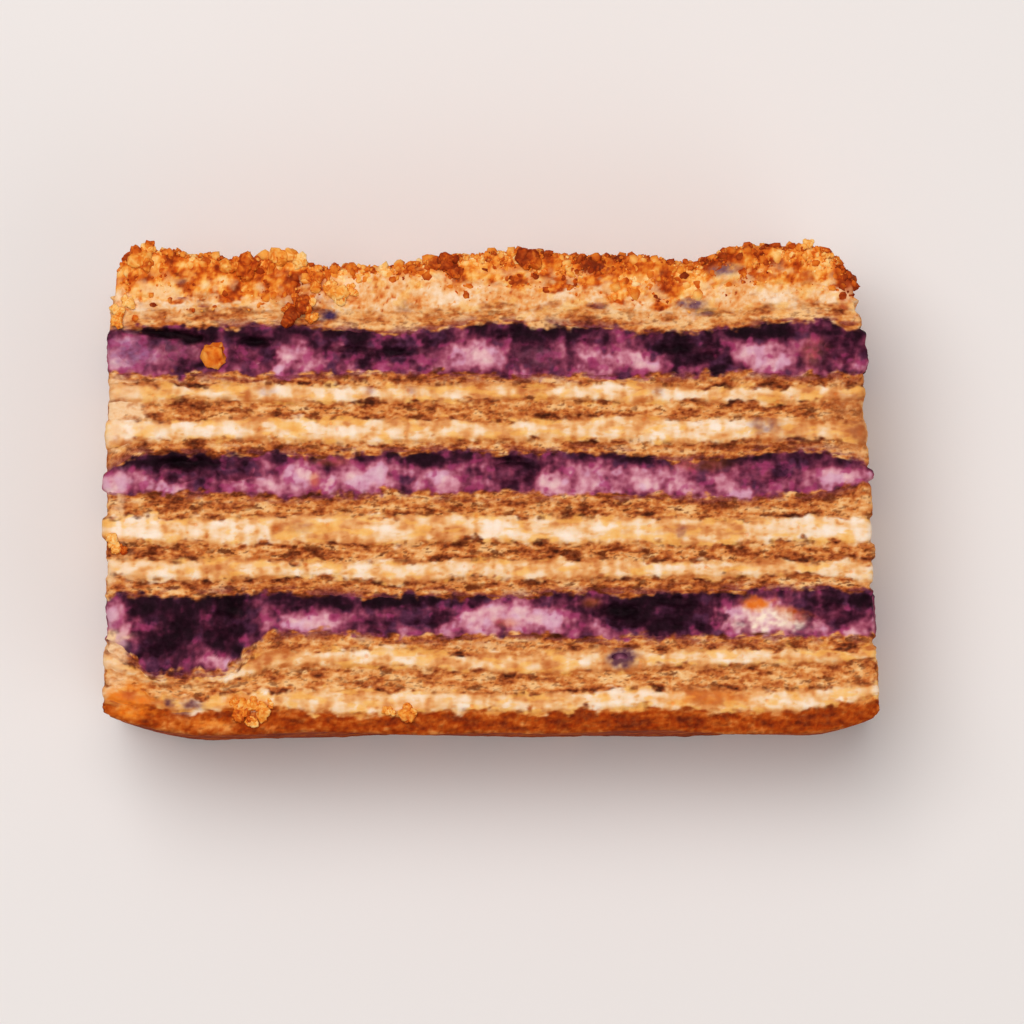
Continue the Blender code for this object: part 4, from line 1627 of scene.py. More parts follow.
@dataclass
class BaseBiscuit(Biscuit):
    """The dark bottom biscuit, with its baked underside."""

    finish = BASE

    def stuff(self, points: Array, rise: Array, facing: Array) -> Look:
        """Dark streaks, lighter along the lower rim and in stated patches.

        Args:
            points: Places on the skin.
            rise: Share of the way up the layer.
            facing: How far the skin faces up.

        Returns:
            What shows.
        """
        grit = self.own(2).cloud(points, cell_size(0.9, 0.7), 2)
        streaks = self.own(3).cloud(points, cell_size(3.0, 1.3), 3)
        slow = self.own(5).waves(points, cell_size(8, 4))
        pores = 0.7 * self.pores(points, grit)
        tone = 0.41 + 0.75 * streaks + 0.42 * grit + 0.24 * slow
        tone = tone + 0.22 * ease(rise, 0.22, 0.02) * on_cut(facing)
        tone = tone + 0.12 * ease(rise, 0.75, 1.0) + self.shades(points, facing)
        height = (0.18 * streaks + 0.2 * grit - 0.36 * pores) * MM
        look = Look(self.finish.paint(tone), np.full(tone.shape, self.finish.roughness), height)
        # The pits' own brown, which also stands in for the shade inside them.
        look.lay(PIT_BROWN, 0.6 * pores)
        return look

    def sheet_relief(self, points: Array) -> Array:
        """Fine blisters of the baked side.

        Args:
            points: Places on the sheet.

        Returns:
            The height in metres.
        """
        away, _ = self.own(6).cells(points, 3.2 * MM)
        fine = self.own(7).cloud(points, 2.4 * MM, 3)
        return -0.1 * MM * fine + 0.22 * MM * ease(away, 0.3, 0.1)


@dataclass
class Cream(LayerSkin):
    """Set cream: soft swells, golden where honey has soaked in, a few small bubbles."""

    finish = CREAM

    def stuff(self, points: Array, rise: Array, facing: Array) -> Look:
        """Pale patches in the middle, golden ones near the biscuits, some of them upright.

        Args:
            points: Places on the skin.
            rise: Share of the way up the layer.
            facing: How far the skin faces up.

        Returns:
            What shows.
        """
        patches = self.own(3).cloud(points, cell_size(3.6, 1.7), 3)
        slow = self.own(5).waves(points, cell_size(13, 6))
        upright = self.own(6).cloud(points, cell_size(1.6, 3.2), 2)
        flecks = ease(self.own(7).cloud(points, cell_size(1.6, 0.8), 2), 0.2, 0.5)
        tone = 0.58 + self.layer.pale + 0.8 * patches + 0.28 * slow + 0.44 * upright
        tone = tone - 0.3 * self.rim(rise) - 0.24 * flecks + self.shades(points, facing)
        away, _ = self.own(4).cells(points, 1.5 * MM)
        chosen = ease(self.own(8).waves(points, 3.0 * MM), 0.3, 0.5)
        bubbles = ease(away, 0.3, 0.12) * chosen
        swell = self.own(2).cloud(points, cell_size(3.4, 1.5), 3)
        full = 0.8 * rise * (1.0 - rise)
        height = (full + 0.16 * swell - 0.25 * bubbles) * MM
        rough = self.finish.roughness - 0.1 * ease(tone, 0.4, 0.1)
        look = Look(self.finish.paint(tone), rough, height)
        golden = ease(self.own(9).cloud(points, cell_size(3.6, 1.5), 3), 0.02, 0.3)
        look.lay(GOLDEN, 0.6 * golden * ease(tone, 1.0, 0.7))
        look.lay(ORANGE_BIT, 0.35 * bubbles)
        return look


@dataclass
class SoakedCream(LayerSkin):
    """The thick cream under the topping, soaked and gritty with crumbs."""

    finish = SOAKED

    def stuff(self, points: Array, rise: Array, facing: Array) -> Look:
        """Beige patches with orange grains and small dark specks.

        Args:
            points: Places on the skin.
            rise: Share of the way up the layer.
            facing: How far the skin faces up.

        Returns:
            What shows.
        """
        patches = self.own(3).cloud(points, cell_size(3.2, 2.4), 3)
        grit = self.own(2).cloud(points, 0.7 * MM, 2)
        slow = self.own(5).waves(points, cell_size(9, 5))
        specks = ease(self.own(4).cloud(points, 0.9 * MM, 2), 0.34, 0.55)
        tone = 0.66 + 0.78 * patches + 0.46 * grit + 0.26 * slow - 0.5 * specks
        tone = tone + self.shades(points, facing) - 0.2 * ease(rise, 0.5, 1.0)
        height = (0.3 * patches + 0.2 * grit - 0.2 * specks) * MM
        look = Look(self.finish.paint(tone), np.full(tone.shape, self.finish.roughness), height)
        golden = ease(self.own(6).cloud(points, cell_size(2.6, 1.8), 3), 0.02, 0.26)
        look.lay(GOLDEN, 0.42 * golden)
        return look


@dataclass
class BerryCream(LayerSkin):
    """Blueberry cream: dark above by stain and painted shade, pink and pale below, lumpy, wet.
    """

    finish = BERRY_CREAM

    def fruit_share(self, points: Array, rise: Array, facing: Array) -> Array:
        """How dark the filling is, from fruit and painted shade: 0 is pale cream and 1 is black
        skin.

        Formula in words: a base that grows towards the top of the band, partly as painted
        shade under the biscuit above, plus soft patches, upright smears, threads and the
        stated patches. Each berry draws the value to its own.

        Args:
            points: Places on the skin.
            rise: Share of the way from the lower sheet to the upper one.
            facing: How far the skin faces up.

        Returns:
            The share at every place.
        """
        patches = self.own(3).cloud(points, cell_size(4.0, 2.6), 3)
        smears = self.own(6).cloud(points, cell_size(1.5, 3.0), 2)
        threads = self.own(10).cloud(points, 1.0 * MM, 2)
        # The growth towards the top is partly painted shade under the biscuit above.
        share = 0.43 + 0.3 * ease(rise, 0.5, 0.95) + 0.06 * ease(rise, 0.2, 0.0)
        share = share - self.layer.pale + 0.54 * patches + 0.26 * smears + 0.16 * threads
        share = share + blots_at(FRUIT[self.layer.name], points, facing)
        on_face = on_cut(facing)
        for berry in berries_in(self.index):
            own = berry.dark + 0.4 * patches + 0.18 * smears + 0.14 * threads
            share = share + (own - share) * 0.85 * berry.cover(points) * on_face
        return share

    def stuff(self, points: Array, rise: Array, facing: Array) -> Look:
        """Colours by fruit and shade, with hollows painted black as shade and orange bits of
        biscuit.

        Args:
            points: Places on the skin.
            rise: Share of the way up the layer.
            facing: How far the skin faces up.

        Returns:
            What shows.
        """
        name = self.layer.name
        tone = self.fruit_share(points, rise, facing)
        hollows = np.clip(blots_at(HOLLOWS[name], points, facing), 0.0, 1.0)
        lumps = self.own(2).cloud(points, cell_size(3.0, 2.4), 3)
        height = (0.8 * rise * (1.0 - rise) + 0.6 * lumps) * MM - 1.5 * MM * hollows
        rough = self.finish.roughness + 0.14 * ease(tone, 0.5, 0.1)
        look = Look(self.finish.paint(tone), rough, height)
        blue = ease(self.own(7).cloud(points, 2.6 * MM, 2), 0.02, 0.36)
        look.lay(BLUE_SHEEN, 0.34 * blue * ease(tone, 0.95, 0.7) * ease(tone, 0.42, 0.6))
        look.lay(LILAC, 0.42 * blue * ease(tone, 0.45, 0.2))
        red = ease(self.own(8).cloud(points, cell_size(1.8, 1.6), 2), 0.08, 0.4)
        look.lay(MAGENTA, 0.6 * red * ease(tone, 0.1, 0.25) * ease(tone, 0.85, 0.6))
        # Painted shade: the hollows are painted near-black.
        look.lay(DEEP_SHADOW, 0.9 * hollows)
        bits = blots_at(ORANGE_BITS.get(name, ()), points, facing)
        look.lay(ORANGE_BIT, bits * (0.8 + 0.5 * lumps), self.finish.roughness)
        return look


BAKED = blots(
    0.6, (-58.6, 31.4, 3.0, 3.6, 0.34), (-56.2, 37.0, 2.4, 2.0, 0.05),
    (-51.4, 36.0, 1.6, 2.0, -0.2), (-46.4, 36.6, 1.6, 1.4, 0.3),
    (-40.0, 34.8, 4.6, 2.0, -0.1), (-38.6, 32.6, 3.4, 0.6, -0.34),
    (-31.4, 36.0, 1.6, 1.2, 0.4), (-24.0, 31.8, 3.0, 2.0, 0.3), (-6.6, 35.0, 3.0, 2.0, -0.1),
    (15.6, 36.0, 1.8, 1.6, -0.28), (24.0, 33.0, 4.0, 1.6, 0.22), (45.4, 35.8, 1.8, 0.9, -0.32),
    (53.4, 31.6, 2.6, 1.6, 0.34), (57.6, 31.0, 1.4, 4.0, -0.2),
)
BARE = blots(
    0.8, (-52.4, 30.9, 4.0, 1.1, 0.7), (-20.6, 32.5, 7.4, 1.4, 0.95),
    (-8.6, 32.7, 3.0, 1.2, 0.8), (3.0, 30.8, 6.0, 1.0, 0.55), (36.4, 30.8, 4.4, 1.0, 0.65),
    (43.3, 31.6, 4.4, 1.2, 0.9), (51.4, 30.2, 4.4, 1.3, 0.9),
)


def crumb_tone(points: Array) -> Array:
    """Tone of the crumbs at each place, shared by the bed and the loose crumbs.

    Formula in words: about one half plus a broad cloud, a small one and the stated
    patches, which reach no deeper than a little below the cut face. It is lighter where
    the cream is bare.

    Args:
        points: Places on the topping or in it.

    Returns:
        The tone at every place.
    """
    broad = BROAD.cloud(points + 0.9, cell_size(5.0, 3.2), 3)
    small = SMALL.cloud(points + 0.7, cell_size(1.7, 1.4), 2)
    near_face = ease(points[..., 2], STACK.depth - 3 * MM, STACK.depth - 1 * MM)
    stated = blots_at(BAKED, points, near_face)
    stated = stated + 0.25 * np.clip(blots_at(BARE, points, near_face), 0.0, 1.0)
    return 0.46 + 0.76 * broad + 0.46 * small + stated


@dataclass
class Topping(LayerSkin):
    """The bed of the crumb topping, itself made of crumbs pressed together."""

    finish = CRUMB

    def crumble(self, points: Array) -> tuple[Array, Array]:
        """Packed crumbs of two sizes.

        Formula in words: each crumb is a dome, highest at its cell's seed point and lowest
        between cells. Small domes sit on the large ones.

        Args:
            points: Places, with x, y and z last.

        Returns:
            The height from about -1 to 1, and a tone for each crumb.
        """
        bent = points + 1.0 * MM * WARP.cloud(points, 1.6 * MM, 2)[..., None]
        big, big_tone = self.own(1).cells(bent, 3.6 * MM)
        small, small_tone = self.own(2).cells(bent, 1.15 * MM)
        height = 1.0 - 1.6 * big + 0.5 * (0.6 - small)
        return height, 0.5 * big_tone + 0.5 * small_tone

    def stuff(self, points: Array, rise: Array, facing: Array) -> Look:
        """Shared tone, a little of each crumb's own, painted shade in the gaps, and bare pale
        cream.

        Args:
            points: Places on the skin.
            rise: Share of the way up the layer.
            facing: How far the skin faces up.

        Returns:
            What shows.
        """
        height, own = self.crumble(points)
        grit = self.own(3).cloud(points, 0.7 * MM, 2)
        # The height term paints shade in the low gaps between the packed crumbs.
        tone = crumb_tone(points) + 0.3 * (own - 0.5) + 0.14 * height + 0.4 * grit
        rough = np.full(tone.shape, self.finish.roughness)
        look = Look(self.finish.paint(tone), rough, 0.7 * MM * height)
        pale = ease(self.own(4).cloud(points, cell_size(3.0, 2.0), 3), -0.05, 0.25)
        look.lay(PALE_CRUMB, 0.7 * pale * ease(rise, 0.8, 0.15))
        bare = np.clip(blots_at(BARE, points, facing), 0.0, 1.0)
        look.lay(PALE_CRUMB, bare * (0.9 + 1.2 * grit))
        return look

    def sheet_relief(self, points: Array) -> Array:
        """Packed crumbs."""
        return 0.6 * MM * self.crumble(points)[0]


SKINS = {
    Kind.BASE: BaseBiscuit,
    Kind.BISCUIT: Biscuit,
    Kind.CREAM: Cream,
    Kind.SOAKED: SoakedCream,
    Kind.BERRY: BerryCream,
    Kind.TOPPING: Topping,
}
FRONT_GRID = 0.00018
END_GRID = 0.00026
BACK_COUNT = 60
OUTER_ROW = 0.00024
OUTER_END_GRID = 0.0003


@cache
def skin_of(index: int) -> LayerSkin:
    """The skin of one layer. The two outermost ones spend more faces on their outer sheet.

    Args:
        index: The layer's number.

    Returns:
        The skin, made once.
    """
    kind = LAYERS[index].kind
    if kind in (Kind.BASE, Kind.TOPPING):
        back_count = round(2 * Outline.half_length / END_GRID)
        ring = Outline.make(END_GRID, OUTER_END_GRID, back_count)
        return SKINS[kind](index, ring, OUTER_ROW)
    return SKINS[kind](index, Outline.make(FRONT_GRID, END_GRID, BACK_COUNT), FRONT_GRID)


# ---- berries and crumbs


class Seed(Enum):
    """The solid that a ball is split from: one corner of each set of like corners."""

    OCTAHEDRON = (1.0, 0.0, 0.0)
    ICOSAHEDRON = (1.0, (1.0 + 5.0**0.5) / 2.0, 0.0)


def ball(seed: Seed, steps: int) -> tuple[Array, Array]:
    """A unit ball of nearly even triangles.

    Formula in words: the seed's corner with every sign and every turn of its axes gives
    its corners. Each triangle is split in four by its edges' middles, pushed out to the
    unit sphere, as many times as steps says.

    Args:
        seed: The solid to start from.
        steps: How many times the faces are split.

    Returns:
        The points, and three point numbers for each face.
    """
    signed = [np.array(seed.value) * signs for signs in product((-1, 1), repeat=3)]
    turned = [np.roll(corner, turn) for corner in signed for turn in range(3)]
    shape = np.unique(np.round(turned, 9) + 0.0, axis=0)
    shape = shape / np.linalg.norm(shape, axis=1, keepdims=True)
    away = np.linalg.norm(shape[:, None] - shape[None], axis=-1)
    joined = (away > 0) & (away < away[away > 0].min() * 1.01)
    faces = [
        (a, b, c)
        for a in range(len(shape))
        for b in range(a + 1, len(shape))
        for c in range(b + 1, len(shape))
        if joined[a, b] and joined[b, c] and joined[a, c]
    ]
    points = [tuple(point) for point in shape]
    for _ in range(steps):
        middles: dict[tuple[int, ...], int] = {}
        split = []
        for face in faces:
            inner = []
            for first, second in ((0, 1), (1, 2), (2, 0)):
                key = tuple(sorted((face[first], face[second])))
                if key not in middles:
                    middle = np.add(points[key[0]], points[key[1]])
                    points.append(tuple(middle / np.linalg.norm(middle)))
                    middles[key] = len(points) - 1
                inner.append(middles[key])
            split += [(face[0], inner[0], inner[2]), (face[1], inner[1], inner[0])]
            split += [(face[2], inner[2], inner[1]), tuple(inner)]
        faces = split
    shape, sides = np.array(points), np.array(faces)
    a, b, c = (shape[sides[:, corner]] for corner in range(3))
    wrong = (np.cross(b - a, c - a) * (a + b + c)).sum(1) < 0
    sides[wrong] = sides[wrong][:, ::-1]
    return shape, sides


@dataclass(frozen=True)
class Berry:
    """A soft blueberry in the cut face, in metres, and how dark it is."""

    name: str
    x: float
    y: float
    long: float
    high: float
    dark: float = 0.75

    most_rise = 0.0009
    rise_share = 0.5
    rim_sink = 0.00032
    sink = 0.0042
    lump = 0.3 * MM
    far = 2.4
    ragged = 0.8
    cover_rim = (1.25, 0.65)

    @property
    def layer_index(self) -> int:
        """The layer that the berry lies in.

        Returns:
            The layer's number.
        """
        x, z = np.array(self.x), np.array(STACK.depth)
        sheets = [STACK.smooth_sheet(sheet, x, z) for sheet in range(len(LAYERS) + 1)]
        return int(np.searchsorted(sheets, self.y)) - 1

    def cover(self, points: Array) -> Array:
        """How far the berry's darkness covers the filling at each place.

        Formula in words: 1 in the middle, easing to 0 past the rim. The distance over the
        two half sizes is moved by noise, so the rim is ragged.

        Args:
            points: Places on the skin.

        Returns:
            The share at every place, from 0 to 1.
        """
        across = (points[..., 0] - self.x) / self.long
        along = (points[..., 1] - self.y) / self.high
        away = np.hypot(across, along)
        near = away < self.far
        found = np.zeros(away.shape)
        moved = away[near] + self.ragged * WARP.cloud(points[near] + 0.08, 2.2 * MM, 3)
        found[near] = ease(moved, *self.cover_rim)
        return found

    def dress(self) -> bpy.types.Object:
        """Builds the berry.

        Formula in words: a ball, deep below the cut face. Above it, it is a low swell that
        follows the filling's own relief and dips under it at its rim. What shows on it is
        what the filling shows there, but in a plain cream it is painted as a berry.

        Returns:
            The finished object, standing for its solid.
        """
        shape, sides = ball(Seed.ICOSAHEDRON, 5)
        host = skin_of(self.layer_index)
        x = self.x + self.long * shape[:, 0]
        y = self.y + self.high * shape[:, 1]
        points = np.stack([x, y, np.full(len(x), STACK.depth)], -1)
        low = y - STACK.sheet(host.index, x, points[:, 2])
        high = STACK.sheet(host.index + 1, x, points[:, 2]) - y
        look = host.look(points, np.ones(len(x)), low, high)
        steps = STACK.face_step(host.index) + look.height
        points[:, 2] += host.relief(points, low, high, steps)
        lumps = SMALL.cloud(points * np.array([1.0, 1.0, 0.0]), 2.0 * MM, 2)
        rise = min(self.most_rise, self.rise_share * self.high)
        upper = rise * shape[:, 2] ** 2 + self.lump * lumps * abs(shape[:, 2])
        deep = min(self.sink, self.long + self.high)
        points[:, 2] += np.where(shape[:, 2] > 0, upper, deep * shape[:, 2]) - self.rim_sink
        if host.layer.kind is not Kind.BERRY:
            look.lay(BERRY.paint(self.dark + 0.8 * lumps), np.full(len(x), 0.9))
        starts = np.arange(len(sides)) * 3
        obj = mesh_object(f"{self.name}_fruit", points, sides.ravel(), starts, look.fields())
        obj.data.materials.append(finish_material(BERRY))
        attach(obj, BODY)
        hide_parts(self.name)
        return obj


BANDS = {
    "high": (
        (-56.8, 21.5, 3.5, 2.7, 0.46), (-49.6, 21.7, 3.3, 2.8, 0.54),
        (-38.2, 21.7, 3.9, 2.8, 0.76), (-19.0, 21.6, 4.4, 2.6, 0.84),
        (7.0, 21.2, 4.0, 2.5, 0.62), (31.8, 21.6, 5.6, 2.6, 0.86), (56.0, 21.8, 3.5, 2.8, 0.68),
    ),
    "mid": (
        (-50.0, 2.3, 4.4, 2.2, 0.62), (-41.0, 2.5, 3.8, 2.1, 0.68), (3.4, 2.2, 5.2, 2.3, 0.74),
        (43.0, 2.0, 6.0, 2.0, 0.58),
    ),
    "low": (
        (-52.7, -23.8, 4.2, 4.3, 0.86), (-43.7, -22.6, 4.0, 3.8, 0.92),
        (-11.8, -20.6, 6.0, 2.1, 0.78), (21.2, -20.8, 4.8, 2.3, 0.94),
        (31.8, -20.7, 4.8, 2.3, 0.84), (54.8, -20.4, 4.8, 2.2, 0.74),
    ),
}
BERRIES = (
    *(
        Berry(f"blueberry_{band}_{number}", *metres(*row[:4]), row[4])
        for band, rows in BANDS.items()
        for number, row in enumerate(rows, 1)
    ),
    Berry("blueberry_small", 0.0206, -0.0273, 0.002, 0.001, 0.62),
)


@cache
def berries_in(index: int) -> tuple[Berry, ...]:
    """The berries that lie in one layer."""
    return tuple(berry for berry in BERRIES if berry.layer_index == index)


@dataclass(frozen=True)
class CrumbSpot:
    """A crumb at a stated place on the cut face, in metres, with its tone.

    It is made of as many grains, pressed together, as it states.
    """

    x: float
    y: float
    radius: float
    tone: float
    grains: int = 5


LYING = tuple(
    CrumbSpot(*metres(*row[:3]), *row[3:])
    for row in (
        (-44.3, 21.2, 2.1, 0.52, 1), (-31.7, 26.8, 1.9, 0.22), (-30.0, 28.0, 1.8, 0.27),
        (-32.6, 28.6, 1.3, 0.34), (-28.8, 27.0, 1.1, 0.62), (-30.6, 30.2, 1.3, 0.4),
        (-29.0, 29.8, 1.0, 0.76), (-24.2, 31.0, 1.9, 0.82), (-26.2, 32.0, 1.4, 0.66),
        (-22.2, 31.6, 1.3, 0.74), (-28.0, 33.0, 1.6, 0.5), (-59.8, 28.4, 1.3, 0.82),
        (-60.0, 26.4, 1.1, 0.72), (-58.2, 29.4, 1.2, 0.86), (-56.6, 36.4, 2.2, 0.6),
        (-55.2, 38.0, 1.4, 0.62), (-33.4, 37.4, 2.0, 0.56), (-30.6, 36.2, 1.3, 0.84),
        (-39.6, 35.2, 2.4, 0.4), (-42.0, 35.8, 1.8, 0.52), (-13.8, -36.2, 1.8, 0.66),
        (-16.2, -35.7, 1.1, 0.74), (-38.6, -35.2, 1.7, 0.6), (-40.2, -36.6, 1.5, 0.54),
        (-36.6, -36.0, 1.5, 0.64), (-38.4, -37.4, 1.3, 0.5), (-41.0, -34.8, 1.1, 0.6),
        (-35.4, -34.6, 0.9, 0.66), (-60.8, -9.0, 1.2, 0.8), (-60.2, -10.0, 1.0, 0.7),
        (-59.0, -10.2, 0.9, 0.44), (-8.0, 36.2, 1.7, 0.08), (-6.0, 34.6, 1.4, 0.14),
        (5.6, 36.0, 2.0, 0.16), (50.8, 38.8, 1.2, 0.78),
    )
)


@dataclass(frozen=True)
class CrumbHeap:
    """Loose crumbs of one kind, joined into one mesh."""

    name: str
    count: int
    least: float
    most: float
    lighter: float
    spread: float
    shape: tuple[Seed, int]
    seed: int
    face_share: float = 0.22
    spots: tuple[CrumbSpot, ...] = ()

    end_share = 0.12
    knobs = 0.34
    squareness = 0.62
    ends = (-0.06, 0.058)
    end_faces = (-0.0584, 0.0562)
    ragged = 0.0034
    fall = 0.003
    small_more = 2.4
    bare_depth = 0.3
    floor_share = 1.15
    flatness = 0.6
    tone_lumps = 0.3
    tone_chance = 0.1

    def places(self, draws: np.random.Generator) -> tuple[Array, Array]:
        """Draws where the crumbs lie: on the top, over the cut face's edge and the ends.

        Formula in words: most lie on the topping's sheet. Those on the cut face hang below
        it by a random share of the topping, and stay high where the cream is bare.

        Args:
            draws: The seeded generator.

        Returns:
            Middle points, and radii.
        """
        top = len(LAYERS)
        count = self.count
        radius = self.least + (self.most - self.least) * draws.random(count) ** self.small_more
        x = draws.uniform(*self.ends, count)
        z = draws.uniform(0.0, STACK.depth, count)
        choice = draws.random(count)
        upper = STACK.smooth_sheet(top, x, z)
        y = upper + radius * draws.uniform(-0.8, 0.15, count)
        on_face = choice < self.face_share
        lower = STACK.smooth_sheet(top - 1, x, z)
        ragged = self.ragged * WARP.cloud(np.stack([x, lower, z], -1), 4.0 * MM, 3)
        fallen = lower + ragged - self.fall * draws.random(count) ** 4
        deep = draws.random(count) ** 1.2
        on_cut = np.stack([x, upper + (fallen - upper) * deep, z], -1)
        bare = np.clip(blots_at(BARE, on_cut, np.ones(count)), 0.0, 1.0)
        deep = deep * np.where(draws.random(count) < bare, self.bare_depth, 1.0)
        y = np.where(on_face, upper - radius * 0.5 + (fallen - upper) * deep, y)
        z = np.where(on_face, STACK.depth + radius * draws.uniform(-0.95, -0.3, count), z)
        on_end = (choice > self.face_share) & (choice < self.face_share + self.end_share)
        side = np.where(draws.random(count) < 0.5, -1.0, 1.0)
        x = np.where(on_end, np.where(side < 0, *self.end_faces) + radius * 0.2 * side, x)
        fall = draws.random(count) * LAYERS[-1].thickness
        y = np.where(on_end, STACK.smooth_sheet(top, x, z) - fall - radius * 0.5, y)
        return np.stack([x, y, np.maximum(z, radius * self.floor_share)], -1), radius

    def grains(self, draws: np.random.Generator) -> tuple[Array, Array, Array]:
        """Splits the stated crumbs into their grains.

        Formula in words: a grain lies at a random place within about two thirds of its
        crumb's radius, highest in the middle, and its size and tone vary. A crumb of one
        grain keeps its own size.

        Args:
            draws: The seeded generator.

        Returns:
            Middle points, radii and tones.
        """
        rows = np.array([(s.x, s.y, s.radius, s.tone, s.grains) for s in self.spots])
        rows = rows.reshape(-1, 5)
        x, y, whole, tone, number = rows.repeat(rows[:, 4].astype(int), 0).T
        split = number > 1
        turn = draws.uniform(0.0, math.tau, len(x))
        away = np.where(split, whole * 0.66 * np.sqrt(draws.random(len(x))), 0.0)
        radius = whole * np.where(split, draws.uniform(0.36, 0.66, len(x)), 1.0)
        z = STACK.depth + 0.05 * whole + 0.25 * np.where(split, whole - away, 0.0)
        tone = tone + 0.12 * split * draws.normal(size=len(x))
        middle = np.stack([x + away * np.cos(turn), y + away * np.sin(turn), z], -1)
        return middle, radius, tone

    def dress(self) -> bpy.types.Object:
        """Builds the heap.

        Formula in words: each crumb is a ball squared up by raising its coordinates to a
        power below one, with its own three scales, turned at random, and each of its
        points moves in or out by chance and by noise. A crumb at a stated place is flat,
        on the cut face. The others take the shared tone.

        Returns:
            The finished object.
        """
        draws = np.random.default_rng(self.seed)
        middle, radius = self.places(draws)
        tone = crumb_tone(middle) + self.lighter + self.spread * draws.normal(size=self.count)
        stated = self.grains(draws)
        middle, radius, tone = map(np.concatenate, zip((middle, radius, tone), stated))
        total = len(radius)
        shape, sides = ball(*self.shape)
        shape = np.sign(shape) * abs(shape) ** self.squareness
        stretch = draws.uniform(0.55, 1.2, (total, 1, 3))
        stretch[self.count :] = 0.6 + 0.4 * stretch[self.count :]
        turn, _ = np.linalg.qr(draws.normal(size=(total, 3, 3)))
        local = np.einsum("nij,npj->npi", turn, shape[None] * stretch)
        local[self.count :, :, 2] *= self.flatness
        lumps = SMALL.cloud(local + np.arange(total)[:, None, None] * 3.7, 0.9, 2)
        chips = draws.uniform(0.86, 1.06, (total, len(shape)))
        local = local * (chips + self.knobs * lumps)[..., None]
        points = middle[:, None, :] + local * radius[:, None, None]
        points[..., 2] = np.maximum(points[..., 2], 0.0)
        chance = self.tone_chance * draws.normal(size=lumps.shape)
        shade = tone[:, None] + self.tone_lumps * lumps + chance
        flip = np.linalg.det(turn) < 0
        faces = np.broadcast_to(sides, (total, *sides.shape)).copy()
        faces[flip] = faces[flip][..., ::-1]
        faces = faces + (np.arange(total) * len(shape))[:, None, None]
        look = Look(CRUMB.paint(shade), np.full(shade.shape, CRUMB.roughness), 0 * shade)
        starts = np.arange(total * len(sides)) * 3
        points = points.reshape(-1, 3)
        obj = mesh_object(self.name, points, faces.ravel(), starts, look.fields())
        obj.data.materials.append(finish_material(CRUMB))
        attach(obj, BODY)
        return obj


SMALL_CHIP = (Seed.ICOSAHEDRON, 0)
CHIP = (Seed.OCTAHEDRON, 1)
LUMP = (Seed.ICOSAHEDRON, 2)

HEAPS = (
    CrumbHeap("lying_crumbs", 30, 0.0007, 0.0014, 0.0, 0.1, LUMP, 60, 0.3, LYING),
    CrumbHeap("golden_crumbs", 2900, 0.00034, 0.00115, 0.07, 0.09, CHIP, 61),
    CrumbHeap("brown_crumbs", 1800, 0.00034, 0.001, -0.14, 0.09, CHIP, 62),
    CrumbHeap("fine_crumbs", 6600, 0.00015, 0.0004, 0.02, 0.16, SMALL_CHIP, 63, 0.36),
)


# ---- the set


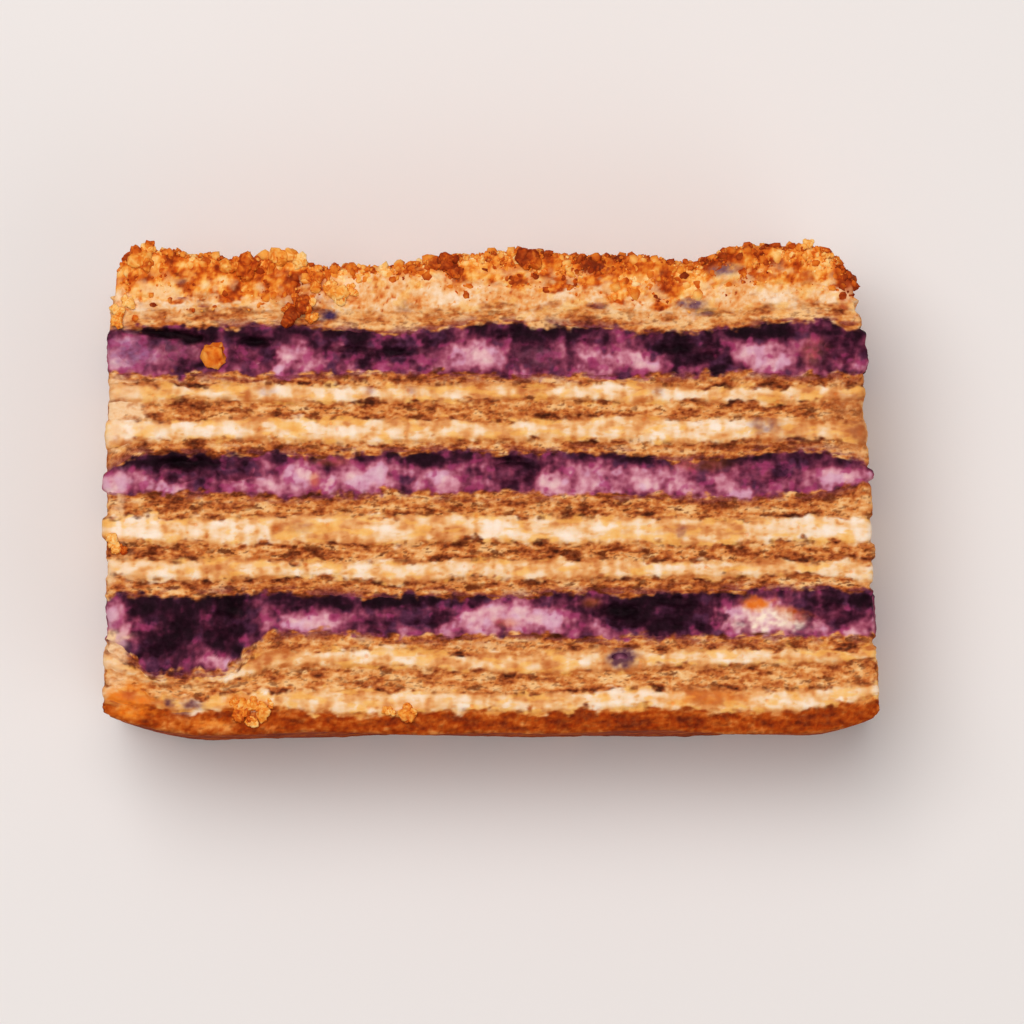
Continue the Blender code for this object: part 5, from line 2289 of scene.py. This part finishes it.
@dataclass(frozen=True)
class Studio:
    """Floor, light and camera."""

    aim: tuple[float, float, float] = (0.0033, -0.0041, 0.035)
    elevation: float = 87.0
    distance: float = 0.9
    frame_width: float = 0.16384
    sensor: float = 36.0
    floor_colour: Colour = (232, 226, 223)
    key_power: float = 11.7
    fill_power: float = 2.4
    world_strength: float = 0.34
    world_colour: Colour = (255, 252, 250)
    floor_half: float = 1.5
    floor_drop: float = -2e-5
    floor_roughness: float = 0.7
    key_place: tuple[float, float, float] = (-0.26, 0.3, 1.2)
    key_size: float = 0.85
    fill_place: tuple[float, float, float] = (0.7, -0.55, 0.8)
    fill_size: float = 0.9

    def floor(self) -> None:
        """A plain pale floor under the slice."""
        half = self.floor_half
        signs = ((-1, -1), (1, -1), (1, 1), (-1, 1))
        points = np.array([(half * x, half * y, self.floor_drop) for x, y in signs])
        obj = mesh_object("floor", points, np.arange(4), np.array([0]), {})
        material = bpy.data.materials.new("floor")
        material.use_nodes = True
        shader = material.node_tree.nodes["Principled BSDF"]
        shader.inputs["Base Color"].default_value = linear(self.floor_colour)
        shader.inputs["Roughness"].default_value = self.floor_roughness
        obj.data.materials.append(material)

    def lamp(self, name: str, place: Sequence[float], size: float, power: float) -> None:
        """A square soft light that looks at the slice.

        Args:
            name: The lamp's name.
            place: Where it stands.
            size: Its side.
            power: Its power in watts.
        """
        data = bpy.data.lights.new(name, "AREA")
        data.size = size
        data.energy = power
        obj = bpy.data.objects.new(name, data)
        bpy.context.scene.collection.objects.link(obj)
        obj.location = place
        away = Vector(self.aim) - obj.location
        obj.rotation_euler = away.to_track_quat("-Z", "Y").to_euler()

    def light(self) -> None:
        """Key light from the upper left, a weak fill and a pale surround."""
        self.lamp("key", self.key_place, self.key_size, self.key_power)
        self.lamp("fill", self.fill_place, self.fill_size, self.fill_power)
        world = bpy.data.worlds.new("surround")
        world.use_nodes = True
        back = world.node_tree.nodes["Background"]
        back.inputs["Color"].default_value = linear(self.world_colour)
        back.inputs["Strength"].default_value = self.world_strength
        bpy.context.scene.world = world
        bpy.context.scene.view_settings.view_transform = "Standard"

    def camera(self) -> None:
        """A long lens almost straight above the slice."""
        data = bpy.data.cameras.new("camera")
        data.sensor_width = self.sensor
        data.lens = self.sensor * self.distance / self.frame_width
        data.clip_end = 10.0
        obj = bpy.data.objects.new("camera", data)
        bpy.context.scene.collection.objects.link(obj)
        tilt = math.radians(self.elevation)
        away = Vector((0.0, -math.cos(tilt), math.sin(tilt))) * self.distance
        obj.location = Vector(self.aim) + away
        obj.rotation_euler = (-away).to_track_quat("-Z", "Y").to_euler()
        bpy.context.scene.camera = obj


def main() -> None:
    """Builds every piece of the slice in order and reports it."""
    logging.basicConfig(level=logging.INFO, format="%(message)s")
    pieces = [skin_of(index).dress() for index in range(len(LAYERS))]
    pieces += [berry.dress() for berry in BERRIES]
    pieces += [heap.dress() for heap in HEAPS]
    for piece in pieces:
        log.info("%s: %d faces", piece.name, len(piece.data.polygons))
    studio = Studio()
    studio.floor()
    studio.light()
    studio.camera()


if __name__ == "__main__":
    main()
